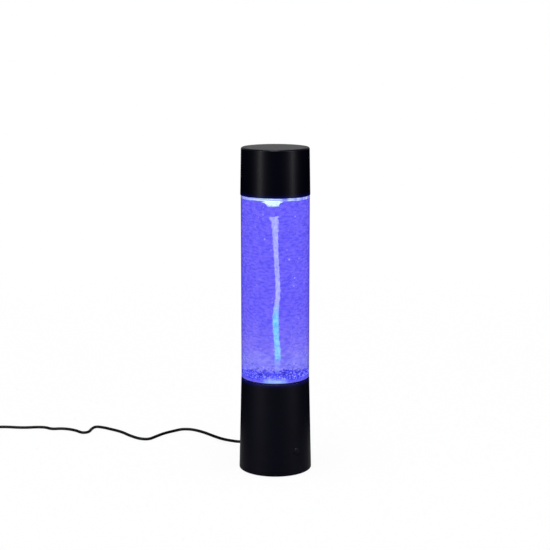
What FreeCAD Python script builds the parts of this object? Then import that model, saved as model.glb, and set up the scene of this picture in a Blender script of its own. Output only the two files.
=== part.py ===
import FreeCAD
import Part
import math
import os

from FreeCAD import Vector

# Water column lamp, in millimetres. The origin is the centre of its footprint on the table,
# +Z is up, the push button faces -Y and the cord leaves at +Y.

# Outside of the lamp
BASE_HEIGHT = 96.6
TUBE_WINDOW = 190.3
CAP_HEIGHT = 48.1
TUBE_R = 35.0
BASE_LIP = 0.2
BASE_FLARE = 2.3
CAP_LIP = 0.56
CAP_DRAFT = 0.86
CAP_EDGE = 1.8
BASE_EDGE = 0.8
RIM_EDGE = 0.4

# Walls and fits
SHELL_WALL = 2.2
TUBE_WALL = 4.0
PRESS_GAP = 0.03
SLIP_GAP = 0.3
SPIN_GAP = 0.05
SEAT_GAP = 0.15

# Turned down ends of the tube
SPIGOT_STEP = 1.8
LOWER_SPIGOT = 14.6
UPPER_SPIGOT = 13.1

# Tank floor and the impeller well bonded into it
FLOOR_RISE = 3.9
FLOOR_THICK = 3.0
FLOOR_FLANGE = 2.0
FLOOR_SKIRT = 3.4
WELL_DEPTH = 10.0
WELL_WALL = 2.5
WELL_MEMBRANE = 2.0
WELL_LIP = 2.2
GRILLE_SEAT = 2.0
GRILLE_THICK = 1.5
GRILLE_SLOTS = 12
SLOT_WIDTH = 1.6
SLOT_INNER_R = 6.6
SLOT_MARGIN = 1.5
PIN_BOSS_R = 3.0
PIN_BOSS = 0.8
PIN_R = 1.0
PIN_DEPTH = 1.8
PIN_DROP = 0.3

# Impeller in the well
IMPELLER_ROOM = 2.0
IMPELLER_DISC = 3.5
VANE_COUNT = 5
VANE_HEIGHT = 3.4
VANE_THICK = 1.2
VANE_BEND_R = 8.0
VANE_MARGIN = 0.5
HUB_R = 2.8
ROTOR_MAGNET_R = 2.6
ROTOR_MAGNET = 2.6
ROTOR_MAGNET_INSET = 4.0

# Drive under the tank floor
MAGNET_AIR_GAP = 1.0
CARRIER_RIM = 0.5
CARRIER_HEIGHT = 6.0
CARRIER_HUB_R = 4.0
CARRIER_HUB = 3.0
DRIVE_MAGNET_R = 3.2
DRIVE_MAGNET = 4.0
SHAFT_R = 1.0
SHAFT_COVER = 1.0

# Lamp ring round the well
LAMP_COUNT = 6
LAMP_SIZE = 3.5
LAMP_HEIGHT = 1.6
LENS_R = 1.3
LENS_RISE = 0.2
LAMP_GAP = 1.5
BOARD_THICK = 1.6
RING_WIDTH = 7.1
RING_INSET = 1.0
RING_CLEAR = 1.0
POST_COUNT = 3
POST_R = 2.1

# Water and its whirl
WATER_DROP = 4.4
WHIRL_MOUTH_R = 13.0
WHIRL_WAIST_R = 4.6
WHIRL_WAIST = 5.1
WHIRL_WAIST_BEND = 8.0
WHIRL_NECK_R = 2.0
WHIRL_NECK = 17.0
WHIRL_NECK_BEND = 60.0
WHIRL_TIP_R = 0.9
WHIRL_FOOT = 9.0

# Lid, seal and stopper
LID_FLANGE = 2.5
LID_PLATE = 3.0
LID_SPIGOT = 11.0
LID_WALL = 2.9
NECK_R = 8.0
NECK_WALL = 2.5
NECK_RISE = 6.0
NECK_DROP = 5.5
NECK_COLLAR = 1.5
SEAL_R = 1.0
SEAL_DROP = 6.0
STOPPER_TAPER = 0.5
STOPPER_LENGTH = 11.5
STOPPER_HEAD_R = 11.0
STOPPER_HEAD = 2.5
TAB_HEIGHT = 2.8
TAB_WIDTH = 8.0
TAB_THICK = 2.0

# Cap
CAP_SKIRT = 17.0
CRUSH_RIBS = 6
CRUSH_RIB_DEPTH = 1.0
CRUSH_RIB_WIDTH = 1.2
CRUSH_RIB_RISE = 0.2

# Ledge, motor bracket and motor
LEDGE_THICK = 3.0
LEDGE_WIDTH = 6.2
BRACKET_THICK = 2.0
BRACKET_INSET = 1.0
BRACKET_ARMS = 4
BRACKET_ARM_WIDTH = 10.0
BRACKET_ARM_INSET = 1.7
BRACKET_SCREW_INSET = 2.5
MOTOR_R = 12.0
MOTOR_HEIGHT = 14.0
MOTOR_WALL = 0.8
MOTOR_BOSS_R = 3.0
MOTOR_BOSS = 1.2
MOTOR_SCREW_PITCH = 7.5
BEARING_R = 2.2
BEARING_LENGTH = 4.0
END_CAP_THICK = 2.0
END_CAP_HUB = 1.5
ARMATURE_R = 8.4
ARMATURE_LENGTH = 7.0
ARMATURE_DROP = 3.4
POLE_COUNT = 3
POLE_GAP = 2.2
STATOR_THICK = 2.2
STATOR_LENGTH = 8.4
STATOR_ANGLE = 130.0
TERMINAL_PITCH = 6.0
TERMINAL_WIDTH = 1.8
TERMINAL_THICK = 0.6
TERMINAL_LENGTH = 2.5

# Bottom cover, feet and fasteners
FOOT_GAP = 0.8
COVER_THICK = 2.2
FOOT_R = 4.5
FOOT_RECESS = 0.6
FOOT_PITCH = 27.0
FOOT_COUNT = 4
BOSS_R = 3.4
BOSS_HEIGHT = 13.0
BOSS_INSET = 3.7
BOSS_WEB = 3.0
COVER_SCREW_R = 1.1
COVER_SCREW_HEAD_R = 2.1
COVER_SCREW_LENGTH = 9.0
COVER_SCREW_RIM = 0.2
COVER_SCREW_DROP = 0.1
COVER_SCREW_POINT = 1.0
SMALL_SCREW_R = 0.8
SMALL_SCREW_HEAD_R = 1.7
SMALL_SCREW_HEAD = 1.0
SMALL_SCREW_LENGTH = 5.0
HOLE_ROOM = 0.06
RECESS_WIDTH = 0.5
RECESS_DEPTH = 0.5

# Push button and switch
BUTTON_Z = 25.4
BUTTON_R = 4.0
BUTTON_ROOM = 0.3
BUTTON_PROUD = 0.4
BUTTON_DOME = 0.4
BUTTON_FLANGE_R = 5.6
BUTTON_FLANGE = 1.2
BUTTON_STUB_R = 2.2
BUTTON_STUB = 0.8
GUIDE_WALL = 2.6
GUIDE_DEPTH = 2.0
SWITCH_SIZE = 8.4
SWITCH_LENGTH = 9.0
SWITCH_GAP = 3.5
PLUNGER_SIZE = 3.4
PLUNGER_LENGTH = 8.5
PLUNGER_BORE = 6.5

# Control board
CONTROL_WIDTH = 33.0
CONTROL_LENGTH = 36.0
CONTROL_CORNER = 1.5
CONTROL_HOLE_INSET = 3.6
STANDOFF_R = 2.6
SOCKET_WIDTH = 6.0
SOCKET_LENGTH = 6.0
SOCKET_HEIGHT = 5.6
SOCKET_MARGIN = 1.0
PART_GAP = 1.2
CHIP_SIZE = (5.0, 6.0, 1.6)
CHIP_X = -3.0
CAPACITOR_R = 2.6
CAPACITOR_HEIGHT = 7.0
CAPACITOR_X = 4.4
SMALL_PART_SIZE = (3.0, 1.6, 0.8)

# Cord, strain relief and plug
CORD_R = 1.5
CORD_Z = 14.0
RELIEF_HOLE_R = 4.0
RELIEF_FLANGE_R = 5.2
RELIEF_FLANGE = 1.5
RELIEF_LENGTH = 12.0
RELIEF_TIP_R = 2.2
RELIEF_COLLAR_R = 4.6
RELIEF_COLLAR = 1.3
RELIEF_SHOULDER = 1.0
LEAD_LIFT = 3.4
WIRE_R = 0.6
WIRE_PITCH = 2.0
WIRE_INSET = 1.5
WIRE_ANGLE = 135.0
COIL_GAP = 0.5
COIL_OUTER_R = 20.5
COIL_TURNS = 3
OVERMOULD_WIDTH = 15.6
OVERMOULD_HEIGHT = 8.0
OVERMOULD_LENGTH = 24.0
OVERMOULD_EDGE = 1.6
OVERMOULD_NECK = 8.0
OVERMOULD_NECK_R = 2.8
OVERMOULD_SLEEVE = 0.6
PLUG_REACH = 26.0
TAIL_RUN = 8.0
PLUG_WIDTH = 12.0
PLUG_HEIGHT = 4.5
PLUG_LENGTH = 12.0
PLUG_WALL = 0.3
LATCH_WINDOW = 2.4
LATCH_SIDE = 2.9
LATCH_SHIFT = 1.4
TONGUE_HEIGHT = 1.9
TONGUE_DROP = 0.6
CONTACT_COUNT = 4
CONTACT_PITCH = 2.3
CONTACT_WIDTH = 1.0
CONTACT_THICK = 0.2

# The cord's route over the table, from the strain relief to its coil
CORD_ROUTE = [
    (0.0, 54.4, 14.0),
    (2.6, 70.6, 7.8),
    (6.0, 86.5, 3.7),
    (6.4, 100.0, 1.8),
    (5.4, 112.2, CORD_R),
    (4.8, 123.7, CORD_R),
    (4.3, 135.2, CORD_R),
    (2.5, 146.6, CORD_R),
    (-1.2, 157.9, CORD_R),
    (-10.9, 163.7, CORD_R),
    (-22.8, 163.0, CORD_R),
    (-34.3, 161.6, CORD_R),
    (-45.3, 158.4, CORD_R),
    (-56.5, 153.7, CORD_R),
    (-65.9, 158.7, CORD_R),
    (-68.3, 170.2, CORD_R),
    (-69.2, 181.7, CORD_R),
    (-69.0, 193.2, CORD_R),
    (-71.2, 204.5, CORD_R),
    (-71.4, 215.7, CORD_R),
    (-75.9, 227.0, 2.6),
    (-87.1, 229.3, 2.6),
    (-95.1, 221.1, CORD_R),
    (-104.7, 221.4, CORD_R),
    (-110.8, 228.9, CORD_R),
    (-109.2, 240.3, CORD_R),
    (-116.6, 249.5, CORD_R),
    (-126.2, 255.9, CORD_R),
    (-130.1, 266.9, CORD_R),
    (-138.9, 274.2, CORD_R),
    (-149.1, 279.6, CORD_R),
    (-157.4, 287.5, CORD_R),
    (-164.9, 296.2, CORD_R),
    (-174.2, 308.4, CORD_R),
    (-183.6, 319.6, CORD_R),
]

ORIGIN = Vector(0, 0, 0)
UP = Vector(0, 0, 1)
OUTWARD_REAR = Vector(0, 1, 0)

# Heights that follow from the sizes above
TUBE_BOTTOM = BASE_HEIGHT - LOWER_SPIGOT
CAP_BOTTOM = BASE_HEIGHT + TUBE_WINDOW
TUBE_TOP = CAP_BOTTOM + UPPER_SPIGOT
LAMP_TOP = CAP_BOTTOM + CAP_HEIGHT
LEDGE_TOP = TUBE_BOTTOM - FLOOR_FLANGE
LEDGE_BOTTOM = LEDGE_TOP - LEDGE_THICK
FLOOR_TOP = BASE_HEIGHT + FLOOR_RISE
FLOOR_UNDERSIDE = FLOOR_TOP - FLOOR_THICK
WELL_BOTTOM = FLOOR_TOP - WELL_DEPTH
WELL_UNDERSIDE = WELL_BOTTOM - WELL_MEMBRANE
PIN_SEAT = WELL_BOTTOM + PIN_BOSS
WATER_TOP = CAP_BOTTOM - WATER_DROP
BRACKET_BOTTOM = LEDGE_BOTTOM - BRACKET_THICK
MOTOR_BOTTOM = BRACKET_BOTTOM - MOTOR_HEIGHT
CARRIER_TOP = WELL_UNDERSIDE - MAGNET_AIR_GAP
CARRIER_BOTTOM = CARRIER_TOP - CARRIER_HEIGHT
RING_TOP = FLOOR_UNDERSIDE - LAMP_GAP - LAMP_HEIGHT
RING_BOTTOM = RING_TOP - BOARD_THICK
COVER_TOP = FOOT_GAP + COVER_THICK
CONTROL_TOP = BUTTON_Z - SWITCH_SIZE / 2
CONTROL_BOTTOM = CONTROL_TOP - BOARD_THICK

# Radii that follow
TUBE_BORE = TUBE_R - TUBE_WALL
SPIGOT_R = TUBE_R - SPIGOT_STEP
BASE_R_TOP = TUBE_R + BASE_LIP
BASE_R_BOTTOM = BASE_R_TOP + BASE_FLARE
CAP_R_BOTTOM = TUBE_R + CAP_LIP
CAP_R_TOP = CAP_R_BOTTOM - CAP_DRAFT
CAP_BORE = SPIGOT_R + SLIP_GAP
SKIRT_BORE = TUBE_BORE - PRESS_GAP - FLOOR_SKIRT
RING_OUTER = SKIRT_BORE - RING_CLEAR
RING_INNER = RING_OUTER - RING_WIDTH
RING_MIDDLE = (RING_OUTER + RING_INNER) / 2
WELL_R = RING_INNER - RING_INSET - WELL_WALL - GRILLE_SEAT
WELL_LIP_R = WELL_R + WELL_WALL + GRILLE_SEAT
IMPELLER_R = WELL_R - IMPELLER_ROOM
MAGNET_PITCH = IMPELLER_R - ROTOR_MAGNET_INSET
CARRIER_R = IMPELLER_R + CARRIER_RIM
LEDGE_BORE_R = SPIGOT_R - LEDGE_WIDTH
BRACKET_R = LEDGE_BORE_R - BRACKET_INSET
BRACKET_ARM_R = SPIGOT_R - BRACKET_ARM_INSET
BRACKET_SCREW_PITCH = BRACKET_ARM_R - BRACKET_SCREW_INSET


def corner_cut(before, corner, after, radius):
    """Start, middle and end of the arc that rounds a corner, with a radius that its sides hold."""
    to_before = before - corner
    to_after = after - corner
    half = to_before.getAngle(to_after) / 2
    shorter = min(to_before.Length, to_after.Length)
    reach = min(radius / math.tan(half), 0.45 * shorter)
    radius = reach * math.tan(half)
    to_before.normalize()
    to_after.normalize()
    middle_way = to_before + to_after
    middle_way.normalize()
    centre = corner + middle_way * (radius / math.sin(half))
    return (
        corner + to_before * reach,
        centre - middle_way * radius,
        corner + to_after * reach,
    )


def rounded_wire(corners):
    """Closed wire through points, where a point may come with a radius that rounds it."""
    points = [c[0] for c in corners]
    edges = []
    starts = []
    ends = []
    arcs = []
    for index, (point, radius) in enumerate(corners):
        after = points[(index + 1) % len(points)]
        if radius > 0:
            start, middle, end = corner_cut(points[index - 1], point, after, radius)
            arcs.append(Part.Arc(start, middle, end).toShape())
        else:
            start = point
            end = point
            arcs.append(None)
        starts.append(start)
        ends.append(end)
    for index, arc in enumerate(arcs):
        if arc:
            edges.append(arc)
        following = starts[(index + 1) % len(starts)]
        edges.append(Part.LineSegment(ends[index], following).toShape())
    return Part.Wire(edges)


def turned(corners):
    """Solid of revolution about Z from (radius, height) or (radius, height, rounding) corners."""
    flat = [(Vector(c[0], 0, c[1]), c[2] if len(c) > 2 else 0) for c in corners]
    solid = Part.Face(rounded_wire(flat)).revolve(ORIGIN, UP, 360)
    if solid.Volume < 0:
        solid.reverse()
    return solid


def disc(radius, low, high, at=(0, 0)):
    return Part.makeCylinder(radius, high - low, Vector(at[0], at[1], low))


def ring(outer, inner, low, high):
    return disc(outer, low, high).cut(disc(inner, low - 1, high + 1))


def block(size, middle):
    """Box of a size about its middle point."""
    corner = Vector(*middle) - Vector(*size) / 2
    return Part.makeBox(size[0], size[1], size[2], corner)


def polar(radius, degrees):
    angle = math.radians(degrees)
    return (radius * math.cos(angle), radius * math.sin(angle))


def spread(shape, count, first=0.0):
    """Copies of a shape at even angles about Z."""
    copies = []
    for index in range(count):
        copy = shape.copy()
        copy.rotate(ORIGIN, UP, first + 360.0 * index / count)
        copies.append(copy)
    return copies


def fused(shapes):
    whole = shapes[0]
    if len(shapes) > 1:
        whole = whole.fuse(shapes[1:])
    return whole.removeSplitter()


def even_angles(count, first=0.0):
    return [first + 360.0 * index / count for index in range(count)]


def base_outer_r(height):
    """Outside radius of the tapered base at a height."""
    share = (height - FOOT_GAP) / (BASE_HEIGHT - FOOT_GAP)
    return BASE_R_BOTTOM + (BASE_R_TOP - BASE_R_BOTTOM) * share


def base_inner_r(height):
    return base_outer_r(height) - SHELL_WALL


def boss_pitch_r():
    return base_inner_r(FOOT_GAP) - BOSS_INSET


def small_screws(places, seat, upward=False, length=SMALL_SCREW_LENGTH):
    """Pan head screws whose heads sit on a face, pointing down or up from it."""
    way = 1 if upward else -1
    screws = []
    for x, y in places:
        head_low = min(seat, seat - way * SMALL_SCREW_HEAD)
        shank_low = min(seat, seat + way * length)
        head = disc(SMALL_SCREW_HEAD_R, head_low, head_low + SMALL_SCREW_HEAD, (x, y))
        shank = disc(SMALL_SCREW_R, shank_low, shank_low + length, (x, y))
        crown = seat - way * (SMALL_SCREW_HEAD - RECESS_DEPTH / 2)
        across = 2 * SMALL_SCREW_HEAD_R * 0.7
        for size in ((across, RECESS_WIDTH), (RECESS_WIDTH, across)):
            head = head.cut(block((*size, RECESS_DEPTH), (x, y, crown)))
        screws.append(head.fuse(shank))
    return Part.makeCompound(screws)


def cut_pilots(shape, places, mouth, depth, radius=SMALL_SCREW_R):
    """Blind screw holes; a negative depth goes down from the mouth."""
    low = min(mouth, mouth + depth)
    for place in places:
        shape = shape.cut(disc(radius + HOLE_ROOM, low, low + abs(depth), place))
    return shape


# Base housing, cover and feet

def base_housing():
    bore = SPIGOT_R + PRESS_GAP
    shell = turned(
        [
            (base_inner_r(FOOT_GAP), FOOT_GAP),
            (base_outer_r(FOOT_GAP), FOOT_GAP, BASE_EDGE),
            (BASE_R_TOP, BASE_HEIGHT, RIM_EDGE),
            (bore, BASE_HEIGHT),
            (bore, LEDGE_TOP),
            (LEDGE_BORE_R, LEDGE_TOP),
            (LEDGE_BORE_R, LEDGE_BOTTOM),
            (base_inner_r(LEDGE_BOTTOM), LEDGE_BOTTOM),
        ]
    )
    pitch = boss_pitch_r()
    boss_top = COVER_TOP + BOSS_HEIGHT
    boss = disc(BOSS_R, COVER_TOP, boss_top, (pitch, 0))
    web_end = base_inner_r(boss_top) + SHELL_WALL / 2
    web = block(
        (web_end - pitch, BOSS_WEB, BOSS_HEIGHT),
        ((web_end + pitch) / 2, 0, COVER_TOP + BOSS_HEIGHT / 2),
    )
    bosses = spread(boss.fuse(web), FOOT_COUNT, 45)
    guide_front = base_inner_r(BUTTON_Z) + SHELL_WALL / 2
    guide = Part.makeCylinder(
        BUTTON_R + BUTTON_ROOM + GUIDE_WALL,
        guide_front - guide_back(),
        Vector(0, -guide_front, BUTTON_Z),
        OUTWARD_REAR,
    )
    shell = fused([shell, *bosses, guide])
    button_hole = Part.makeCylinder(
        BUTTON_R + BUTTON_ROOM, BASE_R_BOTTOM, Vector(0, -BASE_R_BOTTOM - 1, BUTTON_Z), OUTWARD_REAR
    )
    cord_hole = Part.makeCylinder(
        RELIEF_HOLE_R, BASE_R_BOTTOM, Vector(0, 1, CORD_Z), OUTWARD_REAR
    )
    shell = shell.cut(button_hole).cut(cord_hole)
    shell = cut_pilots(shell, cover_screw_places(), COVER_TOP, BOSS_HEIGHT - 2, COVER_SCREW_R)
    return cut_pilots(shell, bracket_screw_places(), LEDGE_BOTTOM, LEDGE_THICK - 0.5)


def guide_back():
    """Distance from the axis to the inner end of the button's guide."""
    return base_inner_r(BUTTON_Z) - GUIDE_DEPTH


def cover_screw_places():
    return [polar(boss_pitch_r(), a) for a in even_angles(FOOT_COUNT, 45)]


def standoff_places():
    x = CONTROL_WIDTH / 2 - CONTROL_HOLE_INSET
    front = control_front() + CONTROL_HOLE_INSET
    rear = control_front() + CONTROL_LENGTH - CONTROL_HOLE_INSET
    return [(-x, front), (x, front), (-x, rear), (x, rear)]


def bottom_cover():
    cover = disc(base_inner_r(FOOT_GAP) - SEAT_GAP, FOOT_GAP, COVER_TOP)
    standoffs = [disc(STANDOFF_R, FOOT_GAP + 1, CONTROL_BOTTOM, p) for p in standoff_places()]
    cover = fused([cover, *standoffs])
    for place in foot_places():
        cover = cover.cut(disc(FOOT_R + SEAT_GAP, 0, FOOT_GAP + FOOT_RECESS, place))
    for place in cover_screw_places():
        cover = cover.cut(countersunk(place, HOLE_ROOM))
    return cut_pilots(cover, standoff_places(), CONTROL_BOTTOM, -SMALL_SCREW_LENGTH)


def foot_places():
    return [polar(FOOT_PITCH, a) for a in even_angles(FOOT_COUNT)]


def rubber_feet():
    top = FOOT_GAP + FOOT_RECESS
    foot = turned([(0, 0), (FOOT_R, 0, 0.4), (FOOT_R, top), (0, top)])
    feet = []
    for x, y in foot_places():
        copy = foot.copy()
        copy.translate(Vector(x, y, 0))
        feet.append(copy)
    return Part.makeCompound(feet)


def countersunk(place, room=0.0):
    """Countersunk screw pointing up, or with room the hole that it sits in."""
    head_r = COVER_SCREW_HEAD_R + room
    shank_r = COVER_SCREW_R + room
    low = FOOT_GAP + COVER_SCREW_DROP
    rim = low + COVER_SCREW_RIM + room
    cone = COVER_SCREW_HEAD_R - COVER_SCREW_R
    tip = low + COVER_SCREW_LENGTH
    mouth = FOOT_GAP if room else low
    body = turned(
        [
            (0, mouth),
            (head_r, mouth),
            (head_r, rim),
            (shank_r, rim + cone),
            (shank_r, tip - COVER_SCREW_POINT),
            (0, tip),
        ]
    )
    body.translate(Vector(place[0], place[1], 0))
    return body


def cover_screws():
    screws = []
    for x, y in cover_screw_places():
        screw = countersunk((x, y))
        across = 2 * COVER_SCREW_HEAD_R * 0.7
        slot_middle = FOOT_GAP + COVER_SCREW_DROP + RECESS_DEPTH / 2
        for size in ((across, RECESS_WIDTH), (RECESS_WIDTH, across)):
            screw = screw.cut(block((*size, RECESS_DEPTH), (x, y, slot_middle)))
        screws.append(screw)
    return Part.makeCompound(screws)


# Tank

def tank_tube():
    return turned(
        [
            (TUBE_BORE, TUBE_BOTTOM),
            (SPIGOT_R, TUBE_BOTTOM, 0.3),
            (SPIGOT_R, BASE_HEIGHT),
            (TUBE_R, BASE_HEIGHT),
            (TUBE_R, CAP_BOTTOM),
            (SPIGOT_R, CAP_BOTTOM),
            (SPIGOT_R, TUBE_TOP, 0.3),
            (TUBE_BORE, TUBE_TOP),
        ]
    )


def tank_floor():
    """Ring that closes the tube round the well, with the skirt and flange that it stands on."""
    plug_r = TUBE_BORE - PRESS_GAP
    lip_bore = WELL_LIP_R + PRESS_GAP
    well_bore = WELL_R + WELL_WALL + PRESS_GAP
    return turned(
        [
            (well_bore, FLOOR_UNDERSIDE),
            (SKIRT_BORE, FLOOR_UNDERSIDE, 0.8),
            (SKIRT_BORE, LEDGE_TOP),
            (SPIGOT_R, LEDGE_TOP),
            (SPIGOT_R, TUBE_BOTTOM),
            (plug_r, TUBE_BOTTOM),
            (plug_r, FLOOR_TOP, 0.5),
            (lip_bore, FLOOR_TOP),
            (lip_bore, FLOOR_TOP - WELL_LIP),
            (well_bore, FLOOR_TOP - WELL_LIP),
        ]
    )


def impeller_well():
    """Cup that hangs in the floor by its lip, with a thin bottom and a raised seat for the pin."""
    seat = FLOOR_TOP - GRILLE_THICK
    cup_r = WELL_R + WELL_WALL
    body = turned(
        [
            (0, WELL_UNDERSIDE),
            (cup_r, WELL_UNDERSIDE, 1.0),
            (cup_r, FLOOR_TOP - WELL_LIP),
            (WELL_LIP_R, FLOOR_TOP - WELL_LIP),
            (WELL_LIP_R, FLOOR_TOP),
            (WELL_R + GRILLE_SEAT, FLOOR_TOP),
            (WELL_R + GRILLE_SEAT, seat),
            (WELL_R, seat),
            (WELL_R, WELL_BOTTOM, 1.0),
            (PIN_BOSS_R, WELL_BOTTOM),
            (PIN_BOSS_R, PIN_SEAT),
            (0, PIN_SEAT),
        ]
    )
    return body.cut(disc(PIN_R + PRESS_GAP, PIN_SEAT - PIN_DEPTH, PIN_SEAT + 1))


def impeller_pin():
    return disc(PIN_R, PIN_SEAT - PIN_DEPTH, FLOOR_TOP - PIN_DROP)


def vane():
    """One bent vane, the stretch of a thin ring that lies between the hub and the disc's rim."""
    low = PIN_SEAT + IMPELLER_DISC
    high = low + VANE_HEIGHT
    middle = (VANE_BEND_R, 0)
    bent = disc(VANE_BEND_R + VANE_THICK / 2, low, high, middle)
    bent = bent.cut(disc(VANE_BEND_R - VANE_THICK / 2, low - 1, high + 1, middle))
    bent = bent.common(ring(IMPELLER_R - VANE_MARGIN, HUB_R - VANE_THICK / 2, low, high))
    half = block((4 * IMPELLER_R, 2 * IMPELLER_R, 4 * VANE_HEIGHT), (0, IMPELLER_R, low))
    return bent.common(half)


def impeller():
    disc_top = PIN_SEAT + IMPELLER_DISC
    body = disc(IMPELLER_R, PIN_SEAT, disc_top)
    hub = disc(HUB_R, PIN_SEAT, disc_top + VANE_HEIGHT)
    wheel = fused([body, hub, *spread(vane(), VANE_COUNT)])
    for x in (-MAGNET_PITCH, MAGNET_PITCH):
        pocket = disc(ROTOR_MAGNET_R + PRESS_GAP, PIN_SEAT - 1, PIN_SEAT + ROTOR_MAGNET, (x, 0))
        wheel = wheel.cut(pocket)
    return wheel.cut(disc(PIN_R + SPIN_GAP, PIN_SEAT - 1, disc_top + VANE_HEIGHT + 1))


def impeller_magnets():
    top = PIN_SEAT + ROTOR_MAGNET
    spots = (-MAGNET_PITCH, MAGNET_PITCH)
    return Part.makeCompound([disc(ROTOR_MAGNET_R, PIN_SEAT, top, (x, 0)) for x in spots])


def well_grille():
    """Slotted cover that lies flush in the tank floor and steadies the pin's top."""
    low = FLOOR_TOP - GRILLE_THICK
    cover = disc(WELL_R + GRILLE_SEAT - SEAT_GAP, low, FLOOR_TOP)
    slot_out = WELL_R - SLOT_MARGIN
    middle = (SLOT_INNER_R + slot_out) / 2
    slot = block((slot_out - SLOT_INNER_R, SLOT_WIDTH, 3 * GRILLE_THICK), (middle, 0, low))
    for radius in (SLOT_INNER_R, slot_out):
        slot = slot.fuse(disc(SLOT_WIDTH / 2, low - 1, FLOOR_TOP + 1, (radius, 0)))
    cover = cover.cut(spread(slot, GRILLE_SLOTS))
    return cover.cut(disc(PIN_R + SPIN_GAP, low - 1, FLOOR_TOP + 1))


def whirl():
    """Hollow that the whirl keeps open in the water, wide at the surface and thin below."""
    foot = FLOOR_TOP + WHIRL_FOOT
    return turned(
        [
            (0, foot),
            (WHIRL_TIP_R, foot),
            (WHIRL_NECK_R, WATER_TOP - WHIRL_NECK, WHIRL_NECK_BEND),
            (WHIRL_WAIST_R, WATER_TOP - WHIRL_WAIST, WHIRL_WAIST_BEND),
            (WHIRL_MOUTH_R, WATER_TOP),
            (WHIRL_MOUTH_R, WATER_TOP + 1),
            (0, WATER_TOP + 1),
        ]
    )


def water_fill():
    return disc(TUBE_BORE - PRESS_GAP, FLOOR_TOP, WATER_TOP).cut(whirl())


def tank_lid():
    """Plate with a spigot in the tube, a groove for the seal and a bore for the filler neck."""
    spigot_r = TUBE_BORE - PRESS_GAP
    bottom = TUBE_TOP - LID_SPIGOT
    top = TUBE_TOP + LID_FLANGE
    plate = top - LID_PLATE
    bore = NECK_R + NECK_WALL + PRESS_GAP
    seal_z = bottom + SEAL_DROP
    half_groove = SEAL_R + PRESS_GAP
    groove = spigot_r - 2 * half_groove
    return turned(
        [
            (bore, plate),
            (spigot_r - LID_WALL, plate, 1.0),
            (spigot_r - LID_WALL, bottom),
            (spigot_r, bottom, 0.5),
            (spigot_r, seal_z - half_groove),
            (groove, seal_z - half_groove),
            (groove, seal_z + half_groove),
            (spigot_r, seal_z + half_groove),
            (spigot_r, TUBE_TOP),
            (SPIGOT_R, TUBE_TOP),
            (SPIGOT_R, top, 0.5),
            (bore, top),
        ]
    )


def filler_neck():
    """Bush through the lid that the tank is filled by, with a collar on the lid."""
    outer = NECK_R + NECK_WALL
    top = TUBE_TOP + LID_FLANGE
    collar_r = outer + NECK_COLLAR
    return turned(
        [
            (NECK_R, TUBE_TOP - NECK_DROP),
            (outer, TUBE_TOP - NECK_DROP, 0.5),
            (outer, top),
            (collar_r, top),
            (collar_r, top + NECK_COLLAR, 0.4),
            (outer, top + NECK_COLLAR),
            (outer, top + NECK_RISE, 0.4),
            (NECK_R, top + NECK_RISE),
        ]
    )


def lid_seal():
    """Rubber ring in the lid's groove."""
    height = TUBE_TOP - LID_SPIGOT + SEAL_DROP
    centre_r = TUBE_BORE - PRESS_GAP - SEAL_R
    return Part.makeTorus(centre_r, SEAL_R, Vector(0, 0, height))


def filler_stopper():
    rim = TUBE_TOP + LID_FLANGE + NECK_RISE
    wide = NECK_R - SPIN_GAP
    head_top = rim + STOPPER_HEAD
    body = turned(
        [
            (0, rim - STOPPER_LENGTH),
            (wide - STOPPER_TAPER, rim - STOPPER_LENGTH, 0.6),
            (wide, rim),
            (STOPPER_HEAD_R, rim, 0.3),
            (STOPPER_HEAD_R, head_top, 0.8),
            (0, head_top),
        ]
    )
    tab = block((TAB_WIDTH, TAB_THICK, TAB_HEIGHT + 1), (0, 0, head_top + (TAB_HEIGHT - 1) / 2))
    return fused([body, tab])


def top_cap():
    roof = LAMP_TOP - SHELL_WALL
    skirt_top = CAP_BOTTOM + CAP_SKIRT
    slope = (CAP_R_TOP - CAP_R_BOTTOM) / CAP_HEIGHT
    upper_bore = CAP_R_BOTTOM + slope * CAP_SKIRT - SHELL_WALL
    inner_low = min(CAP_BORE, upper_bore)
    shell = turned(
        [
            (CAP_BORE, CAP_BOTTOM),
            (CAP_R_BOTTOM, CAP_BOTTOM, RIM_EDGE),
            (CAP_R_TOP, LAMP_TOP, CAP_EDGE),
            (0, LAMP_TOP),
            (0, roof),
            (CAP_R_TOP - SHELL_WALL, roof, 1.0),
            (inner_low, skirt_top),
            (CAP_BORE, skirt_top - 0.5),
        ]
    )
    rib_low = CAP_BOTTOM + 1
    rib_height = CAP_SKIRT - 2
    rib_face = CAP_BORE - CRUSH_RIB_RISE
    rib = block(
        (CRUSH_RIB_DEPTH, CRUSH_RIB_WIDTH, rib_height),
        (rib_face + CRUSH_RIB_DEPTH / 2, 0, rib_low + rib_height / 2),
    )
    return fused([shell, *spread(rib, CRUSH_RIBS, 180 / CRUSH_RIBS)])


# Drive

def bracket_screw_places():
    return [polar(BRACKET_SCREW_PITCH, a) for a in even_angles(BRACKET_ARMS)]


def motor_screw_places():
    return [(-MOTOR_SCREW_PITCH, 0), (MOTOR_SCREW_PITCH, 0)]


def post_places():
    return [polar(RING_MIDDLE, a) for a in even_angles(POST_COUNT, 90)]


def lamp_lead_place():
    return polar(RING_OUTER - WIRE_INSET, WIRE_ANGLE)


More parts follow.
